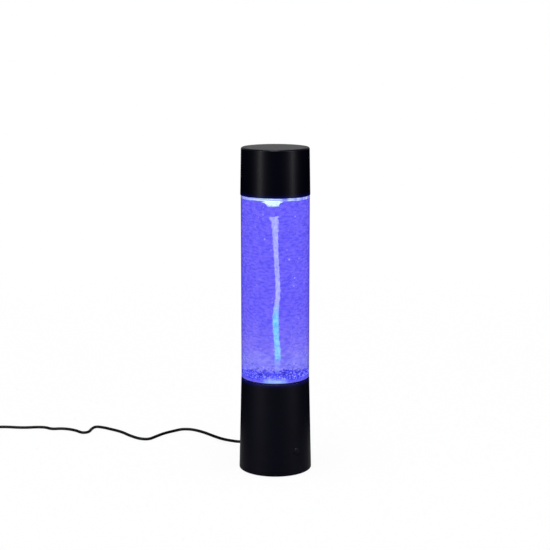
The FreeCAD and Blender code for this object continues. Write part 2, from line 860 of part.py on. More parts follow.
def motor_bracket():
    plate = disc(BRACKET_R, BRACKET_BOTTOM, LEDGE_BOTTOM)
    arm = block(
        (BRACKET_ARM_R, BRACKET_ARM_WIDTH, BRACKET_THICK),
        (BRACKET_ARM_R / 2, 0, BRACKET_BOTTOM + BRACKET_THICK / 2),
    )
    posts = [disc(POST_R, BRACKET_BOTTOM, RING_BOTTOM, p) for p in post_places()]
    whole = fused([plate, *spread(arm, BRACKET_ARMS), *posts])
    reach = disc(BRACKET_ARM_R, BRACKET_BOTTOM, RING_BOTTOM)
    whole = whole.common(reach)
    low = BRACKET_BOTTOM - 1
    high = LEDGE_BOTTOM + 1
    holes = [disc(MOTOR_BOSS_R + SEAT_GAP, low, high)]
    holes += [disc(SMALL_SCREW_R + SEAT_GAP, low, high, p) for p in motor_screw_places()]
    holes += [disc(SMALL_SCREW_R + SEAT_GAP, low, high, p) for p in bracket_screw_places()]
    holes.append(disc(2 * WIRE_PITCH, low, high, lamp_lead_place()))
    whole = whole.cut(holes)
    return cut_pilots(whole, post_places(), RING_BOTTOM, -SMALL_SCREW_LENGTH)


def motor_can():
    inner = MOTOR_R - MOTOR_WALL
    top_inside = BRACKET_BOTTOM - MOTOR_WALL
    boss_top = BRACKET_BOTTOM + MOTOR_BOSS
    bore = BEARING_R + PRESS_GAP
    can = turned(
        [
            (inner, MOTOR_BOTTOM),
            (MOTOR_R, MOTOR_BOTTOM),
            (MOTOR_R, BRACKET_BOTTOM, 0.8),
            (MOTOR_BOSS_R, BRACKET_BOTTOM),
            (MOTOR_BOSS_R, boss_top, 0.3),
            (bore, boss_top),
            (bore, top_inside),
            (inner, top_inside, 0.4),
        ]
    )
    for place in motor_screw_places():
        hole = disc(SMALL_SCREW_R + HOLE_ROOM, top_inside - 1, BRACKET_BOTTOM + 1, place)
        can = can.cut(hole)
    return can


def motor_bearing():
    top = BRACKET_BOTTOM + MOTOR_BOSS
    return ring(BEARING_R, SHAFT_R + SPIN_GAP, top - BEARING_LENGTH, top)


def motor_end_cap():
    """Moulded end of the motor with the lower bearing hub and two terminal slots."""
    cap = disc(MOTOR_R - MOTOR_WALL - PRESS_GAP, MOTOR_BOTTOM, MOTOR_BOTTOM + END_CAP_THICK)
    hub = disc(BEARING_R + 1, MOTOR_BOTTOM - END_CAP_HUB, MOTOR_BOTTOM + 1)
    cap = fused([cap, hub])
    shaft_room = disc(SHAFT_R + SPIN_GAP, MOTOR_BOTTOM - 0.5, MOTOR_BOTTOM + END_CAP_THICK + 1)
    cap = cap.cut(shaft_room)
    for x in terminal_spots():
        slot = block((TERMINAL_WIDTH, TERMINAL_THICK, 3 * END_CAP_THICK), (x, 0, MOTOR_BOTTOM))
        cap = cap.cut(slot)
    return cap


def terminal_spots():
    return (-TERMINAL_PITCH, TERMINAL_PITCH)


def terminal_bottom():
    return MOTOR_BOTTOM - TERMINAL_LENGTH


def motor_terminals():
    high = MOTOR_BOTTOM + END_CAP_THICK
    middle = (terminal_bottom() + high) / 2
    width = TERMINAL_WIDTH - 2 * PRESS_GAP
    thick = TERMINAL_THICK - 2 * PRESS_GAP
    size = (width, thick, high - terminal_bottom())
    return Part.makeCompound([block(size, (x, 0, middle)) for x in terminal_spots()])


def armature():
    """Three pole armature on the motor's shaft."""
    top = BRACKET_BOTTOM - MOTOR_WALL - ARMATURE_DROP
    low = top - ARMATURE_LENGTH
    core = ring(ARMATURE_R, SHAFT_R + PRESS_GAP, low, top)
    gap = block(
        (ARMATURE_R, POLE_GAP, 3 * ARMATURE_LENGTH),
        (ARMATURE_R / 2 + 4 * SHAFT_R, 0, low),
    )
    return core.cut(spread(gap, POLE_COUNT, 90 / POLE_COUNT))


def stator_magnets():
    outer = MOTOR_R - MOTOR_WALL - PRESS_GAP
    top = BRACKET_BOTTOM - MOTOR_WALL - ARMATURE_DROP + (STATOR_LENGTH - ARMATURE_LENGTH) / 2
    low = top - STATOR_LENGTH
    arcs = []
    for first in (-STATOR_ANGLE / 2, 180 - STATOR_ANGLE / 2):
        arc = Part.makeCylinder(outer, STATOR_LENGTH, Vector(0, 0, low), UP, STATOR_ANGLE)
        arc.rotate(ORIGIN, UP, first + 90)
        arcs.append(arc.cut(disc(outer - STATOR_THICK, low - 1, top + 1)))
    return Part.makeCompound(arcs)


def motor_shaft():
    return disc(SHAFT_R, MOTOR_BOTTOM, CARRIER_TOP - SHAFT_COVER)


def magnet_carrier():
    carrier = turned(
        [
            (0, CARRIER_BOTTOM - CARRIER_HUB),
            (CARRIER_HUB_R, CARRIER_BOTTOM - CARRIER_HUB, 0.4),
            (CARRIER_HUB_R, CARRIER_BOTTOM),
            (CARRIER_R, CARRIER_BOTTOM, 0.6),
            (CARRIER_R, CARRIER_TOP, 0.6),
            (0, CARRIER_TOP),
        ]
    )
    for x in (-MAGNET_PITCH, MAGNET_PITCH):
        pocket = disc(
            DRIVE_MAGNET_R + PRESS_GAP, CARRIER_TOP - DRIVE_MAGNET, CARRIER_TOP + 1, (x, 0)
        )
        carrier = carrier.cut(pocket)
    low = CARRIER_BOTTOM - CARRIER_HUB - 1
    return carrier.cut(disc(SHAFT_R + PRESS_GAP, low, CARRIER_TOP - SHAFT_COVER))


def drive_magnets():
    low = CARRIER_TOP - DRIVE_MAGNET
    spots = (-MAGNET_PITCH, MAGNET_PITCH)
    return Part.makeCompound([disc(DRIVE_MAGNET_R, low, CARRIER_TOP, (x, 0)) for x in spots])


def lamp_board():
    board = ring(RING_OUTER, RING_INNER, RING_BOTTOM, RING_TOP)
    for place in post_places():
        board = board.cut(disc(SMALL_SCREW_R + SEAT_GAP, RING_BOTTOM - 1, RING_TOP + 1, place))
    return board


def lamps():
    chip = block(
        (LAMP_SIZE, LAMP_SIZE, LAMP_HEIGHT), (RING_MIDDLE, 0, RING_TOP + LAMP_HEIGHT / 2)
    )
    lens = disc(LENS_R, RING_TOP, RING_TOP + LAMP_HEIGHT + LENS_RISE, (RING_MIDDLE, 0))
    return Part.makeCompound(spread(chip.fuse(lens), LAMP_COUNT))


# Control board, switch and button

def control_front():
    """Y of the control board's front edge."""
    return switch_front() - 1.0


def switch_front():
    return -(guide_back() - BUTTON_FLANGE - BUTTON_STUB - SWITCH_GAP)


def control_board():
    corners = []
    x = CONTROL_WIDTH / 2
    rear = control_front() + CONTROL_LENGTH
    for px, py in ((-x, control_front()), (x, control_front()), (x, rear), (-x, rear)):
        corners.append((Vector(px, py, CONTROL_BOTTOM), CONTROL_CORNER))
    board = Part.Face(rounded_wire(corners)).extrude(Vector(0, 0, BOARD_THICK))
    for place in standoff_places():
        hole = disc(SMALL_SCREW_R + SEAT_GAP, CONTROL_BOTTOM - 1, CONTROL_TOP + 1, place)
        board = board.cut(hole)
    return board


def socket_places():
    """Middles of the supply, motor and lamp sockets on the control board."""
    rear = control_front() + CONTROL_LENGTH - SOCKET_LENGTH / 2 - SOCKET_MARGIN
    side = CONTROL_WIDTH / 2 - SOCKET_WIDTH / 2 - SOCKET_MARGIN
    middle = control_front() + CONTROL_LENGTH / 2 + 2 * SOCKET_MARGIN
    return {"supply": (0, rear), "motor": (side, middle), "lamps": (-side, middle)}


def lead_sockets():
    size = (SOCKET_WIDTH, SOCKET_LENGTH, SOCKET_HEIGHT)
    height = CONTROL_TOP + SOCKET_HEIGHT / 2
    return Part.makeCompound([block(size, (x, y, height)) for x, y in socket_places().values()])


def board_parts():
    """Chip, capacitor and two small parts on the control board."""
    small_row = switch_front() + SWITCH_LENGTH + PART_GAP + SMALL_PART_SIZE[1] / 2
    chip_row = small_row + SMALL_PART_SIZE[1] / 2 + PART_GAP + CHIP_SIZE[1] / 2
    chip = block(CHIP_SIZE, (CHIP_X, chip_row, CONTROL_TOP + CHIP_SIZE[2] / 2))
    capacitor_top = CONTROL_TOP + CAPACITOR_HEIGHT
    capacitor = disc(CAPACITOR_R, CONTROL_TOP, capacitor_top, (CAPACITOR_X, chip_row))
    height = CONTROL_TOP + SMALL_PART_SIZE[2] / 2
    small = [block(SMALL_PART_SIZE, (x, small_row, height)) for x in (CHIP_X, CAPACITOR_X)]
    return Part.makeCompound([chip, capacitor, *small])


def switch_body():
    front = switch_front()
    middle = (0, front + SWITCH_LENGTH / 2, BUTTON_Z)
    body = block((SWITCH_SIZE, SWITCH_LENGTH, SWITCH_SIZE), middle)
    bore_size = PLUNGER_SIZE + 2 * SPIN_GAP
    bore = block((bore_size, 2 * PLUNGER_BORE, bore_size), (0, front, BUTTON_Z))
    return body.cut(bore)


def switch_plunger():
    front = -(guide_back() - BUTTON_FLANGE - BUTTON_STUB)
    middle = (0, front + PLUNGER_LENGTH / 2, BUTTON_Z)
    return block((PLUNGER_SIZE, PLUNGER_LENGTH, PLUNGER_SIZE), middle)


def power_button():
    """Domed button with the flange that stops it behind its guide."""
    back = guide_back()
    face = base_outer_r(BUTTON_Z) + BUTTON_PROUD
    length = face - back
    body = turned(
        [
            (0, -BUTTON_FLANGE - BUTTON_STUB),
            (BUTTON_STUB_R, -BUTTON_FLANGE - BUTTON_STUB),
            (BUTTON_STUB_R, -BUTTON_FLANGE),
            (BUTTON_FLANGE_R, -BUTTON_FLANGE),
            (BUTTON_FLANGE_R, 0),
            (BUTTON_R, 0),
            (BUTTON_R, length - BUTTON_DOME, 0.3),
            (BUTTON_R * 0.5, length - BUTTON_DOME * 0.15, 3),
            (0, length),
        ]
    )
    body.rotate(ORIGIN, Vector(1, 0, 0), 90)
    body.translate(Vector(0, -back, BUTTON_Z))
    return body


# Cord, leads and plug

def path_wire(points, radius_share=0.45):
    """Straight runs joined by arcs as large as the runs hold; gives the wire and its radii."""
    edges = []
    radii = []
    last = points[0]
    for before, corner, after in zip(points, points[1:], points[2:]):
        reach = radius_share * min((before - corner).Length, (after - corner).Length)
        half = (before - corner).getAngle(after - corner) / 2
        start, middle, end = corner_cut(before, corner, after, reach * math.tan(half))
        radii.append(reach * math.tan(half))
        edges.append(Part.LineSegment(last, start).toShape())
        edges.append(Part.Arc(start, middle, end).toShape())
        last = end
    edges.append(Part.LineSegment(last, points[-1]).toShape())
    return Part.Wire(edges), radii


def tube_along(wire, radius, way):
    """Round tube along a wire that sets out in a given way."""
    start = wire.Edges[0].valueAt(wire.Edges[0].FirstParameter)
    section = Part.Wire(Part.makeCircle(radius, start, way))
    return wire.makePipeShell([section], True, False)


def tube_through(points, radius, name):
    wire, radii = path_wire(points)
    tube = tube_along(wire, radius, points[1] - points[0])
    share = tube.Volume / (math.pi * radius**2 * wire.Length)
    print(f"{name}: length {wire.Length:.1f}, least radius {min(radii):.1f}, volume share {share:.4f}")
    return tube


def wall_bow():
    """How far the inner wall curves away over half the width of the relief's flange."""
    radius = base_inner_r(CORD_Z)
    return radius - math.sqrt(radius**2 - RELIEF_FLANGE_R**2)


def strain_relief():
    """Moulded sleeve through the wall, flanged inside and tapered outside."""
    wall_in = base_inner_r(CORD_Z) - wall_bow() - SEAT_GAP
    wall_out = base_outer_r(CORD_Z) + SEAT_GAP
    collar_end = wall_out + RELIEF_COLLAR
    end = wall_out + RELIEF_LENGTH
    neck = RELIEF_HOLE_R - PRESS_GAP
    bore = CORD_R + SEAT_GAP
    sleeve = turned(
        [
            (bore, wall_in - RELIEF_FLANGE),
            (RELIEF_FLANGE_R, wall_in - RELIEF_FLANGE, 0.3),
            (RELIEF_FLANGE_R, wall_in),
            (neck, wall_in),
            (neck, wall_out),
            (RELIEF_COLLAR_R, wall_out),
            (RELIEF_COLLAR_R, collar_end, 0.3),
            (RELIEF_COLLAR_R - RELIEF_SHOULDER, collar_end + RELIEF_SHOULDER / 2),
            (RELIEF_TIP_R, end, 0.2),
            (bore, end),
        ]
    )
    sleeve.rotate(ORIGIN, Vector(1, 0, 0), -90)
    sleeve.translate(Vector(0, 0, CORD_Z))
    return sleeve


def lead_height():
    return CONTROL_TOP + LEAD_LIFT


def supply_lead():
    """The cord's inner end, from the strain relief up to its socket."""
    socket_rear = socket_places()["supply"][1] + SOCKET_LENGTH / 2
    start = base_outer_r(CORD_Z)
    inner = base_inner_r(CORD_Z) - RELIEF_FLANGE
    points = [
        Vector(0, start, CORD_Z),
        Vector(0, inner - 3, CORD_Z),
        Vector(0, (inner + socket_rear) / 2 - 3, lead_height()),
        Vector(0, socket_rear, lead_height()),
    ]
    return tube_through(points, CORD_R, "supply_lead")


def wires(starts, ends, name):
    """Thin wires that rise from a socket and bend over to the point above."""
    tubes = []
    for start, end in zip(starts, ends):
        rise = (end.z - start.z) * 0.25
        points = [start, start + UP * rise, end - UP * rise, end]
        tubes.append(tube_through(points, WIRE_R, name))
    return Part.makeCompound(tubes)


def motor_leads():
    x, y = socket_places()["motor"]
    top = CONTROL_TOP + SOCKET_HEIGHT
    starts = [Vector(x + shift, y, top) for shift in (-WIRE_PITCH, WIRE_PITCH)]
    ends = [Vector(spot, 0, terminal_bottom()) for spot in terminal_spots()]
    return wires(starts, ends, "motor_leads")


def lamp_leads():
    x, y = socket_places()["lamps"]
    top = CONTROL_TOP + SOCKET_HEIGHT
    far_x, far_y = lamp_lead_place()
    shifts = (-WIRE_PITCH / 2, WIRE_PITCH / 2)
    starts = [Vector(x + shift, y, top) for shift in shifts]
    ends = [Vector(far_x + shift, far_y + shift, RING_BOTTOM) for shift in shifts]
    return wires(starts, ends, "lamp_leads")


def cord_points():
    """The route's points from the outside of the base."""
    return [Vector(0, base_outer_r(CORD_Z), CORD_Z)] + [Vector(*p) for p in CORD_ROUTE]


def power_cord():
    return tube_through(cord_points(), CORD_R, "power_cord")


def arc_from(start, heading, end):
    """Arc between two points that leaves the first along a heading."""
    chord = end - start
    side = chord - heading * chord.dot(heading)
    side.normalize()
    radius = chord.Length**2 / (2 * chord.dot(side))
    centre = start + side * radius
    bisector = (start - centre) + (end - centre)
    if bisector.Length < 1e-6:
        bisector = heading
    bisector.normalize()
    if chord.dot(heading) < -1e-6:
        bisector = -bisector
    return Part.Arc(start, centre + bisector * radius, end)


def coil_wire():
    """Two layers of turns made of half circles, wound in, lifted a layer and wound out again."""
    pitch = 2 * CORD_R + COIL_GAP
    points = cord_points()
    heading = points[-1] - points[-2]
    heading.normalize()
    side = UP.cross(heading)
    place = points[-1]
    edges = [Part.LineSegment(place, place + heading * 2 * CORD_R).toShape()]
    place = place + heading * 2 * CORD_R
    half_turns = 2 * COIL_TURNS
    radii = [COIL_OUTER_R - pitch / 2 * i for i in range(half_turns)]
    steps = [(r, 0) for r in radii] + [(radii[-1] - pitch / 2, pitch)]
    steps += [(r, 0) for r in reversed(radii[1:])]
    for radius, lift in steps:
        if lift:
            far = place + side * 2 * radius + UP * lift
            half_way = (place + far) / 2 + heading * ((far - place).Length / 2)
            first = arc_from(place, heading, half_way)
            edges.append(first.toShape())
            turned_heading = far - place
            turned_heading.normalize()
            edges.append(arc_from(half_way, turned_heading, far).toShape())
        else:
            far = place + side * 2 * radius
            middle = place + side * radius + heading * radius
            edges.append(Part.Arc(place, middle, far).toShape())
        place = far
        heading = -heading
        side = -side
    radius = radii[0]
    diagonal = math.sqrt(0.5)
    middle = place + side * radius * (1 - diagonal) + heading * radius * diagonal
    far = place + side * radius + heading * radius
    edges.append(Part.Arc(place, middle, far).toShape())
    edges.append(Part.LineSegment(far, far + side * 2 * CORD_R).toShape())
    return Part.Wire(edges), far + side * 2 * CORD_R, side


def least_self_gap(wire, radius):
    """Least gap between stretches of a tube that are more than a few diameters apart along it."""
    count = int(wire.Length / 1.5)
    points = wire.discretize(Number=count)
    step = wire.Length / (count - 1)
    apart = int(10 * radius / step)
    least = 1e9
    for first in range(count):
        for second in range(first + apart, count):
            least = min(least, (points[first] - points[second]).Length)
    return least - 2 * radius


def cord_coil():
    wire, _, _ = coil_wire()
    points = cord_points()
    tube = tube_along(wire, CORD_R, points[-1] - points[-2])
    gap = least_self_gap(wire, CORD_R)
    share = tube.Volume / (math.pi * CORD_R**2 * wire.Length)
    print(f"cord_coil: length {wire.Length:.1f}, least gap {gap:.2f}, volume share {share:.4f}")
    return tube


def plug_start():
    """Where the cord enters the plug, and the way that it points."""
    _, end, heading = coil_wire()
    slide = Vector(heading.x, heading.y, 0)
    slide.normalize()
    place = end + slide * PLUG_REACH
    return Vector(place.x, place.y, OVERMOULD_HEIGHT / 2), slide


def cord_tail():
    _, end, heading = coil_wire()
    start, slide = plug_start()
    points = [end, end + slide * TAIL_RUN, start - slide * TAIL_RUN, start]
    return tube_through(points, CORD_R, "cord_tail")


def set_in_plug(shape):
    """Moves a shape modelled along +X from the origin to the plug's place."""
    start, slide = plug_start()
    shape.rotate(ORIGIN, UP, math.degrees(math.atan2(slide.y, slide.x)))
    shape.translate(start)
    return shape


def plug_overmould():
    tip_r = CORD_R + OVERMOULD_SLEEVE
    neck = Part.makeCone(tip_r, OVERMOULD_NECK_R, OVERMOULD_NECK, ORIGIN, Vector(1, 0, 0))
    middle = OVERMOULD_NECK + OVERMOULD_LENGTH / 2
    grip = block((OVERMOULD_LENGTH, OVERMOULD_WIDTH, OVERMOULD_HEIGHT), (middle, 0, 0))
    grip = grip.makeFillet(OVERMOULD_EDGE, grip.Edges)
    return set_in_plug(fused([neck, grip]))


def plug_shell():
    outer = (PLUG_LENGTH, PLUG_WIDTH, PLUG_HEIGHT)
    inner = (PLUG_LENGTH + 2, PLUG_WIDTH - 2 * PLUG_WALL, PLUG_HEIGHT - 2 * PLUG_WALL)
    middle = OVERMOULD_NECK + OVERMOULD_LENGTH + PLUG_LENGTH / 2
    shell = block(outer, (middle, 0, 0)).cut(block(inner, (middle, 0, 0)))
    window = (LATCH_WINDOW, LATCH_WINDOW, 2 * PLUG_HEIGHT)
    for y in (-LATCH_SIDE, LATCH_SIDE):
        shell = shell.cut(block(window, (middle + LATCH_SHIFT, y, 0)))
    return set_in_plug(shell)


def tongue_top():
    return -PLUG_HEIGHT / 2 + PLUG_WALL + TONGUE_HEIGHT


def plug_tongue():
    length = PLUG_LENGTH - TONGUE_DROP
    start = OVERMOULD_NECK + OVERMOULD_LENGTH
    width = PLUG_WIDTH - 2 * PLUG_WALL - 2 * PRESS_GAP
    middle = (start + length / 2, 0, tongue_top() - TONGUE_HEIGHT / 2)
    return set_in_plug(block((length, width, TONGUE_HEIGHT), middle))


def plug_contacts():
    start = OVERMOULD_NECK + OVERMOULD_LENGTH
    length = PLUG_LENGTH - 2 * TONGUE_DROP
    contacts = []
    for index in range(CONTACT_COUNT):
        y = (index - (CONTACT_COUNT - 1) / 2) * CONTACT_PITCH
        middle = (start + length / 2, y, tongue_top() + CONTACT_THICK / 2)
        contacts.append(block((length, CONTACT_WIDTH, CONTACT_THICK), middle))
    return set_in_plug(Part.makeCompound(contacts))


def main():
    bracket_screw_length = BRACKET_THICK + LEDGE_THICK - 1
    lamp_screw_length = SMALL_SCREW_LENGTH
    motor_screw_length = BRACKET_THICK + MOTOR_WALL
    board_screw_length = SMALL_SCREW_LENGTH
    nodes = {
        "base_housing": base_housing(),
        "bottom_cover": bottom_cover(),
        "rubber_feet": rubber_feet(),
        "cover_screws": cover_screws(),
        "tank_tube": tank_tube(),
        "tank_floor": tank_floor(),
        "impeller_well": impeller_well(),
        "impeller_pin": impeller_pin(),
        "impeller": impeller(),
        "impeller_magnets": impeller_magnets(),
        "well_grille": well_grille(),
        "water_fill": water_fill(),
        "tank_lid": tank_lid(),
        "filler_neck": filler_neck(),
        "lid_seal": lid_seal(),
        "filler_stopper": filler_stopper(),
        "top_cap": top_cap(),
        "motor_bracket": motor_bracket(),
        "bracket_screws": small_screws(
            bracket_screw_places(), BRACKET_BOTTOM, True, bracket_screw_length
        ),
        "motor_can": motor_can(),
        "motor_bearing": motor_bearing(),
        "motor_end_cap": motor_end_cap(),
        "motor_terminals": motor_terminals(),
        "motor_screws": small_screws(motor_screw_places(), LEDGE_BOTTOM, False, motor_screw_length),
        "armature": armature(),
        "stator_magnets": stator_magnets(),
        "motor_shaft": motor_shaft(),
        "magnet_carrier": magnet_carrier(),
        "drive_magnets": drive_magnets(),
        "lamp_board": lamp_board(),
        "lamps": lamps(),
        "lamp_board_screws": small_screws(post_places(), RING_TOP, False, lamp_screw_length),
        "control_board": control_board(),
        "lead_sockets": lead_sockets(),
        "board_parts": board_parts(),
        "board_screws": small_screws(standoff_places(), CONTROL_TOP, False, board_screw_length),
        "switch_body": switch_body(),
        "switch_plunger": switch_plunger(),
        "power_button": power_button(),
        "strain_relief": strain_relief(),
        "supply_lead": supply_lead(),
        "motor_leads": motor_leads(),
        "lamp_leads": lamp_leads(),
        "power_cord": power_cord(),
        "cord_coil": cord_coil(),
        "cord_tail": cord_tail(),
        "plug_overmould": plug_overmould(),
        "plug_shell": plug_shell(),
        "plug_tongue": plug_tongue(),
        "plug_contacts": plug_contacts(),
    }
    os.makedirs("parts", exist_ok=True)
    for name, shape in nodes.items():
        shape.exportStep(f"parts/{name}.step")
        box = shape.BoundBox
        print(
            f"{name}: valid {shape.isValid()}, solids {len(shape.Solids)}, volume {shape.Volume:.0f},"
            f" z {box.ZMin:.2f} to {box.ZMax:.2f}"
        )


main()
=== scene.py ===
"""Water column lamp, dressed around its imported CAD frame.

A black base holds a clear acrylic tube of lit water with a whirl in it, a black cap closes the top,
and a thin twin lead runs from the base to its plug. Lengths are millimetres unless a comment says
otherwise, and every mesh is built in metres at its place in the frame.
"""
import logging
import math
from dataclasses import dataclass
from enum import Enum
from functools import cache
from typing import Any, Callable

import bmesh
import bpy
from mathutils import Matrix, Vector


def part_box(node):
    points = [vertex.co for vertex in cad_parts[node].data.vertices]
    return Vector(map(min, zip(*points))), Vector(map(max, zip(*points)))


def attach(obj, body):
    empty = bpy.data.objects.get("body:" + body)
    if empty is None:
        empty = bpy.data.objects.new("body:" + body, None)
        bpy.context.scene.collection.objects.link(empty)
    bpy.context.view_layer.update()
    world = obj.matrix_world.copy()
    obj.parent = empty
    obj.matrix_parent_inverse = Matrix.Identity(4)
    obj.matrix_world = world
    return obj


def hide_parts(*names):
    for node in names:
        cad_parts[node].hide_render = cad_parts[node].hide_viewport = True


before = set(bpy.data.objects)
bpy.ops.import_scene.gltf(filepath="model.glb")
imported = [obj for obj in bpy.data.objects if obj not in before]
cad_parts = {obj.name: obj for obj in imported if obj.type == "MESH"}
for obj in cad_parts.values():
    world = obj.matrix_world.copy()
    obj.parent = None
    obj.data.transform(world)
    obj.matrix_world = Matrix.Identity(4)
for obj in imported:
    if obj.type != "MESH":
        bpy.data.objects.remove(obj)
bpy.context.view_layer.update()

log = logging.getLogger("water_column_lamp")

MM = 0.001
Node = bpy.types.Node
Socket = bpy.types.NodeSocket
Tree = bpy.types.NodeTree
Piece = bpy.types.Object
Inputs = dict[Any, Any]
Pair = tuple[float, float]
Spot = tuple[float, float, float]
Stops = tuple[tuple[float, str], ...]

# Sockets by number: a range takes value, from low, from high, to low, to high, and a mix of colours
# takes factor 0 and colours 6 and 7.
MATH = "ShaderNodeMath"
VECTOR = "ShaderNodeVectorMath"
NOISE = "ShaderNodeTexNoise"
CELLS = "ShaderNodeTexVoronoi"
WAVES = "ShaderNodeTexWave"
RANGE = "ShaderNodeMapRange"
SCALED = "ShaderNodeMapping"
SPLIT = "ShaderNodeSeparateXYZ"
RAMP = "ShaderNodeValToRGB"
MIX = "ShaderNodeMix"
GREY = "ShaderNodeCombineColor"
BUMP = "ShaderNodeBump"
RANDOM = "FunctionNodeRandomValue"
ALWAYS = {MIX: {"data_type": "RGBA"}, RANDOM: {"data_type": "FLOAT"}}
# Nearly all of a noise lies between these two, so a range from them uses its whole span
SPREAD = {1: 0.3, 2: 0.7}
# A wave texture at this times per(size) repeats every two sizes, twice as coarse as real, to show
WAVE_SCALE = 1 / 6.28
BLACK = (0.0, 0.0, 0.0, 1.0)
WHITE = (1.0, 1.0, 1.0, 1.0)


def height_of(node: str, end: int) -> float:
    """Height of a CAD node's lowest point, for end 0, or its highest, for end 1."""
    return round(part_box(node)[end].z / MM, 1)


BASE_RIM = height_of("base_housing", 1)
CAP_RIM = height_of("top_cap", 0)
BED = height_of("water_fill", 0)
LEVEL = height_of("water_fill", 1)
# Direction from the axis to the photograph's camera, in degrees, where a lamp of the ring shines up
FRONT = 232.3
# The picture's right, as a direction on the table
SIDE = (round(-math.sin(math.radians(FRONT)), 4), round(math.cos(math.radians(FRONT)), 4))
# Edges that turn more than this stay sharp
SHARP = math.radians(40)


def linear(code: str) -> tuple[float, float, float, float]:
    """Turns an sRGB hex colour to linear light.

    Args:
        code: the colour as "#RRGGBB".

    Returns:
        Red, green, blue and an alpha of 1.
    """
    parts = [int(code[i : i + 2], 16) / 255 for i in (1, 3, 5)]
    r, g, b = (c / 12.92 if c <= 0.04045 else ((c + 0.055) / 1.055) ** 2.4 for c in parts)
    return (r, g, b, 1.0)


def grey_code(share: float) -> str:
    """Hex code of the grey that a ramp reads as the given share of 1."""
    level = share * 12.92 if share <= 0.0031308 else 1.055 * share ** (1 / 2.4) - 0.055
    return "#" + f"{round(level * 255):02X}" * 3


def per(size: float) -> float:
    """Pattern scale that repeats about once every so many millimetres."""
    return 1.0 / (size * MM)


def feed(tree: Tree, node: Node, inputs: Inputs) -> None:
    """Gives a node's inputs their values.

    Args:
        tree: the node's tree.
        node: the node.
        inputs: input name or number to a plain value, a hex colour, an output, or a node whose first
            output in use it takes.
    """
    for key, value in inputs.items():
        if isinstance(value, Node):
            value = next(output for output in value.outputs if output.enabled)
        if isinstance(value, Socket):
            tree.links.new(value, node.inputs[key])
        else:
            node.inputs[key].default_value = linear(value) if isinstance(value, str) else value


def add(tree: Tree, kind: str, inputs: Inputs | None = None, **settings: Any) -> Node:
    """Adds one node with its settings, plain values and links.

    Args:
        tree: the tree that gets the node.
        kind: the node's type.
        inputs: what its inputs take, as feed reads it.
        settings: the node's own properties. stops is a colour ramp's list of place and hex colour.

    Returns:
        The new node.
    """
    node = tree.nodes.new(kind)
    for name, value in {**ALWAYS.get(kind, {}), **settings}.items():
        if name == "stops":
            elements = node.color_ramp.elements
            while len(elements) < len(value):
                elements.new(0.5)
            for element, (place, code) in zip(elements, value):
                element.position = place
                element.color = linear(code)
        else:
            setattr(node, name, value)
    feed(tree, node, inputs or {})
    return node


def cleared(owner: bpy.types.Material | bpy.types.World) -> Tree:
    """Empties the node tree of a new material or world.

    Args:
        owner: the material or world.

    Returns:
        Its tree, without nodes.
    """
    owner.use_nodes = True
    owner.node_tree.nodes.clear()
    return owner.node_tree


def towards(tree: Tree, place: Socket, degrees: float) -> Node:
    """How far a point lies from the lamp's axis in one direction."""
    a = math.radians(degrees)
    return add(tree, VECTOR, {0: place, 1: (math.cos(a), math.sin(a), 0)}, operation="DOT_PRODUCT")


def turn_from(tree: Tree, place: Socket, degrees: float) -> Node:
    """Angle of a point round the lamp's axis from one direction, from -pi to pi."""
    ways = {0: towards(tree, place, degrees + 90), 1: towards(tree, place, degrees)}
    return add(tree, MATH, ways, operation="ARCTAN2")


def off_axis(tree: Tree, place: Socket) -> Node:
    """Distance of a point from the lamp's axis."""
    flat = add(tree, VECTOR, {0: place, 1: (1, 1, 0)}, operation="MULTIPLY")
    return add(tree, VECTOR, {0: flat}, operation="LENGTH")


def glowing(colour: Node, strength: Any, rough: Node, gloss: float, skin: str = "#101030") -> Inputs:
    """Shader inputs of a dark skin with painted light in it, as emission.

    Args:
        colour: the light's colour.
        strength: its strength, plain or from a node.
        rough: the skin's roughness.
        gloss: its specular level.
        skin: its own colour.

    Returns:
        What the shader's inputs take.
    """
    return {"Base Color": skin, "Roughness": rough, "Specular IOR Level": gloss,
            "Emission Color": colour, "Emission Strength": strength}


@dataclass(frozen=True)
class Finish:
    """A surface finish. Each kind of finish wires its own pattern."""

    name: str

    @cache
    def material(self) -> bpy.types.Material:
        """Builds the finish's material, the first time that it is asked for.

        Returns:
            The material.
        """
        made = bpy.data.materials.new(self.name)
        tree = cleared(made)
        shader = add(tree, "ShaderNodeBsdfPrincipled")
        add(tree, "ShaderNodeOutputMaterial", {"Surface": shader})
        feed(tree, shader, self.wire(tree, add(tree, "ShaderNodeTexCoord").outputs["Object"]))
        return made

    def wire(self, tree: Tree, place: Socket) -> Inputs:
        """Makes the finish's pattern.

        Args:
            tree: the material's tree.
            place: object coordinates.

        Returns:
            What the shader's inputs take.
        """
        raise NotImplementedError


